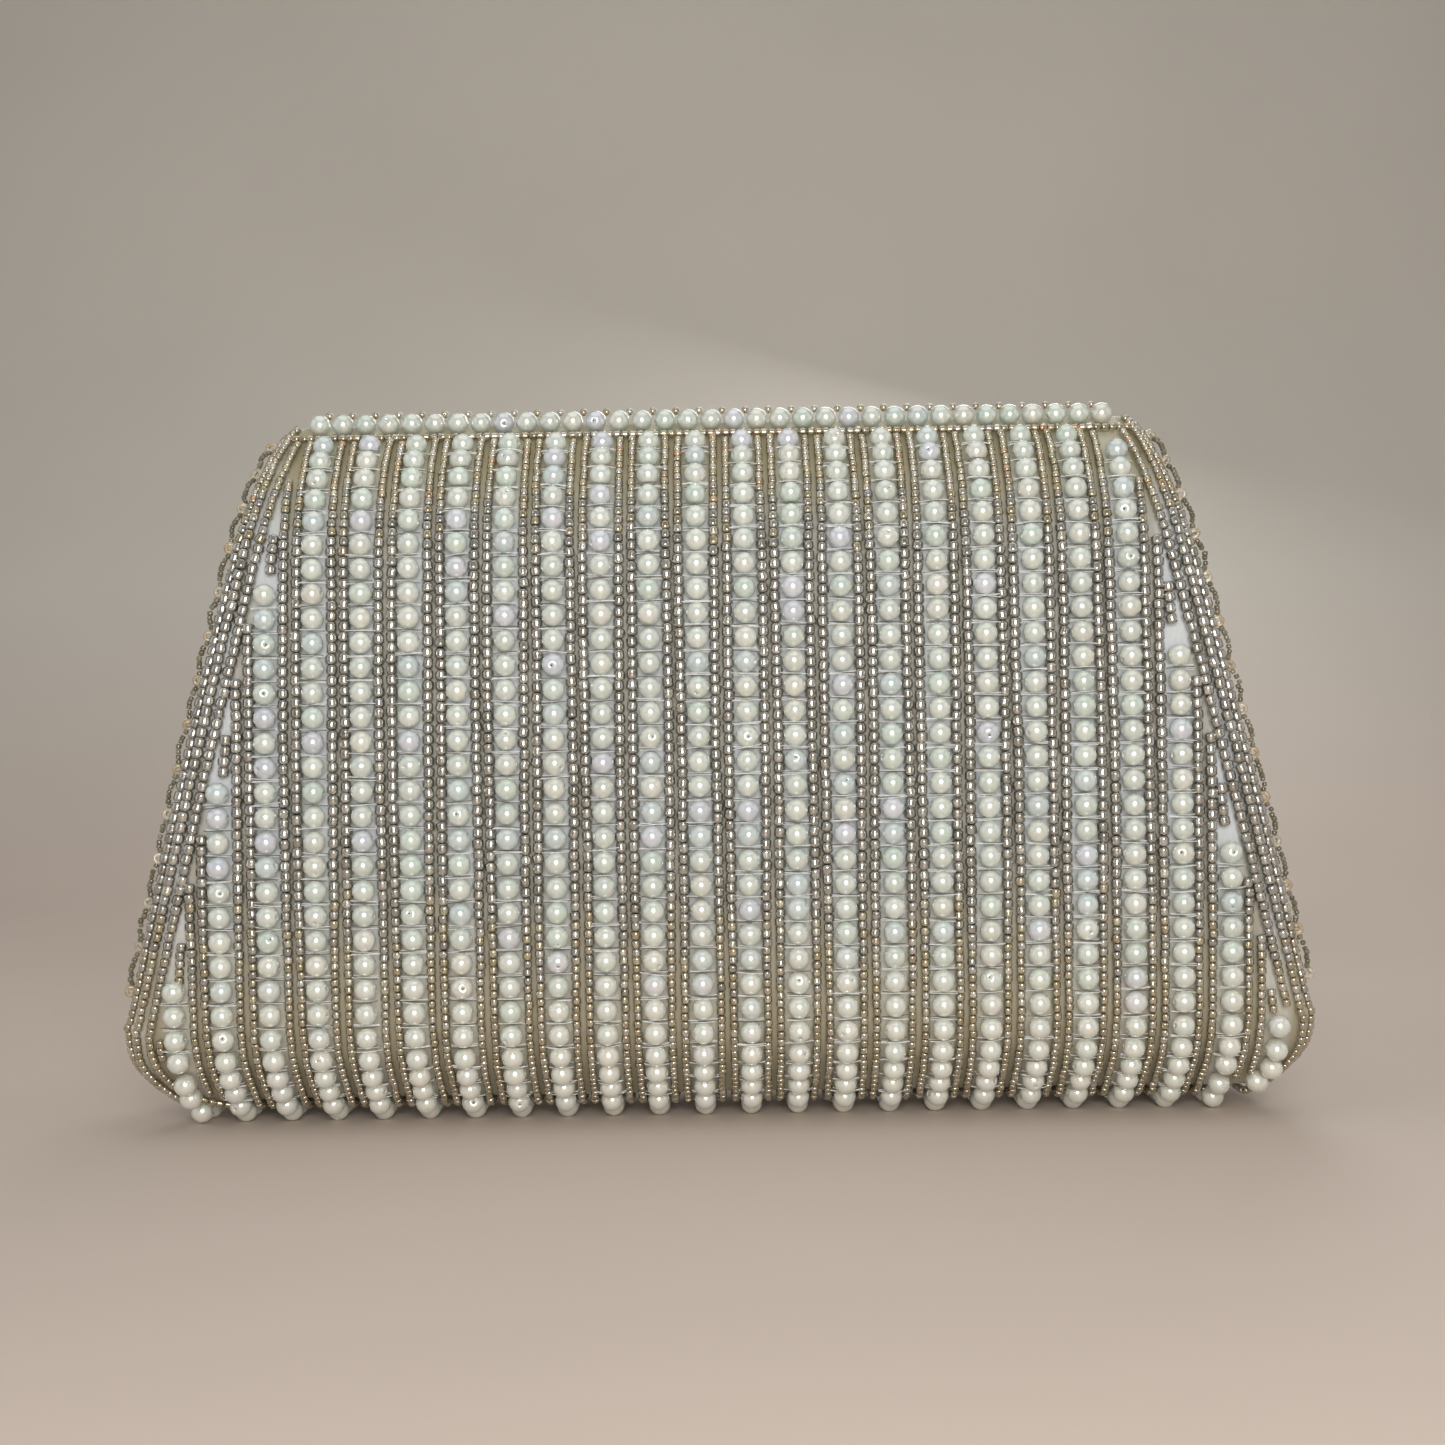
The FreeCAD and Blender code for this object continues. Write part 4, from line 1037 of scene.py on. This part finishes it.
def beading():
    """All pearls, strands, edge rows, threads and edging."""
    back = pearls("back_pearls", "bag", "back_row_pearls")
    front = pearls("front_pearls", "bag", "front_row_pearls")
    pearls("foot_pearls", "bag", "standing_pearls")
    under = pearls("underside_pearls", "bag", "base_row_pearls")
    flap = pearls("flap_pearls", "flap", "flap_row_pearls")
    row_threads(back, "bag", "back_threads")
    row_threads(np.concatenate([front, under]), "bag", "lower_threads")
    row_threads(flap, "flap", "flap_threads")
    base_back, base_front = (
        float(ALONG[np.argmin(np.abs(PLACES[:, 0] - y) + PLACES[:, 1])]) for y in (-BASE_HALF, BASE_HALF)
    )
    top, flap_top = find(122.3 * MM, "back"), find(123.3 * MM, "flap")
    front_top = find(FRONT_BEADS, "front")
    for low, high, shape, body, name, node in (
        (base_back, top, BAG, "bag", "back", "back_seed_strands"),
        (base_front, base_back, BAG, "bag", "base", "underside_seed_strands"),
        (front_top, base_front, BAG, "bag", "front", "front_seed_strands"),
        (flap_top, END, FLAP, "flap", "flap", "flap_seed_strands"),
    ):
        seed_beads(strand_paths(low, high, shape), body, f"{name}_strand_beads", node)
    short_strands("back", BAG, "bag", "back_short_strands")
    short_strands("flap", FLAP, "flap", "flap_short_strands")
    corner_pearls(back)
    # the inner edge rows end below the fold, and the right one starts above the corner pearls
    inner_width, inner_top, right_foot = 74.5 * MM, 122.8 * MM, 20 * MM
    edges, inner = [], []
    for path in edge_paths(base_back, find(125.4 * MM, "back")):
        if abs(path[-1, 0]) >= inner_width:
            edges.append(path)
            continue
        x, z = path[:, 0], path[:, 2]
        inner.append(path[(z < inner_top) & ((x < 0) | (z > right_foot))])
    seed_beads(edges + inner, "bag", "back_edge_beads", "back_edge_seeds")
    seed_beads(edge_paths(front_top, base_back), "bag", "front_edge_beads", "front_edge_seeds")
    seed_beads(flap_edge_paths(), "flap", "flap_edge_beads", "flap_edge_seeds")
    fold_row()
    picot_edging("side_picot_beads", "side_scallops", "bag", "side")
    picot_edging("flap_picot_beads", "flap_scallops", "flap", "flap")


# -------- room, light and camera


def floor():
    """A pale floor that curves up into a backdrop."""
    near, back, radius, top, half_wide = -1.2, 0.35, 0.35, 1.6, 1.6
    bend = np.linspace(0, np.pi / 2, 24)
    y = np.concatenate([np.linspace(near, back, 20), back + radius * np.sin(bend)[1:], [back + radius]])
    z = np.concatenate([np.zeros(20), radius * (1 - np.cos(bend))[1:], [top]])
    x = np.linspace(-half_wide, half_wide, 12)
    points = np.stack(np.broadcast_arrays(x[None], y[:, None], z[:, None]), -1)
    ground = mesh_object("pale_floor", points.reshape(-1, 3), grid_faces(len(y), len(x)))
    made = material("floor_paint", Roughness=0.7)
    axes = add(made, "SeparateXYZ", {"Vector": add(made, "TexCoord").outputs["Object"]})
    rise = add(made, "MapRange", {"Value": axes.outputs["Z"], "From Min": 0.0, "From Max": 0.15})
    clouds = ramp(made, noise(made, 6, 3.0), (0.3, 0.95), (0.7, 1.0))
    paint = ramp(made, rise.outputs[0], (0.0, (0.64, 0.54, 0.47)), (1.0, (0.74, 0.69, 0.61)))
    feed(made, "Base Color", mixed(made, "MULTIPLY", 1.0, paint, clouds))
    ground.data.materials.append(made)


def soft_box(name, place, size, power, colour=(1, 1, 1), target=(0, 0, 0.065)):
    """A round area lamp that faces the bag."""
    lamp = bpy.data.lights.new(name, "AREA")
    lamp.shape, lamp.size, lamp.energy, lamp.color = "DISK", size, power, colour
    holder = put(name, lamp)
    holder.location = place
    way = Vector(target) - Vector(place)
    holder.rotation_euler = way.to_track_quat("-Z", "Y").to_euler()


def lights():
    """A small key beside the camera, wide soft lamps round the bag, and a dim grey sky."""
    soft_box("key", (0.02, -0.42, 0.14), 0.23, 1.15, (1.0, 0.98, 0.93))
    soft_box("left", (-0.75, -0.20, 0.35), 0.8, 0.7, (0.95, 0.98, 1.0))
    soft_box("right", (0.75, -0.15, 0.30), 0.8, 0.6, (1.0, 0.97, 0.93))
    soft_box("top", (0.0, -0.05, 0.75), 0.9, 1.4, (1.0, 0.98, 0.94))
    soft_box("behind", (0.15, 0.55, 0.45), 0.4, 0.8)
    world = bpy.data.worlds.new("studio")
    world.use_nodes = True
    world.node_tree.nodes["Background"].inputs["Color"].default_value = (0.82, 0.83, 0.85, 1)
    world.node_tree.nodes["Background"].inputs["Strength"].default_value = 0.32
    bpy.context.scene.world = world
    bpy.context.scene.view_settings.view_transform = "Standard"


def camera():
    """The camera, level in front of the back, with a slight roll."""
    lens = bpy.data.cameras.new("camera")
    lens.angle = math.radians(45.5)
    holder = put("camera", lens)
    level = Matrix.Rotation(math.radians(90), 4, "X")
    roll = Matrix.Rotation(math.radians(-0.9), 4, "Z")
    holder.matrix_world = Matrix.Translation((0.0013, -0.3200, 0.0712)) @ level @ roll
    bpy.context.scene.camera = holder


# -------- the bag

camera()
lights()
floor()
for sewn in (outer_cloths(), linings()):
    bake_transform(sewn)
gusset(-1, "left_gusset_satin", "left_gusset")
gusset(1, "right_gusset_satin", "right_gusset")
pocket()
mouth_tape()
side_piping(-1, "left_piping_cord", "left_side_piping")
side_piping(1, "right_piping_cord", "right_side_piping")
for made, nodes in (
    (BOARD, ("back_board", "base_board", "front_board", "flap_board")),
    (NICKEL, ("snap_socket", "snap_stud")),
):
    for node in nodes:
        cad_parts[node].data.materials.clear()
        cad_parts[node].data.materials.append(made)
beading()
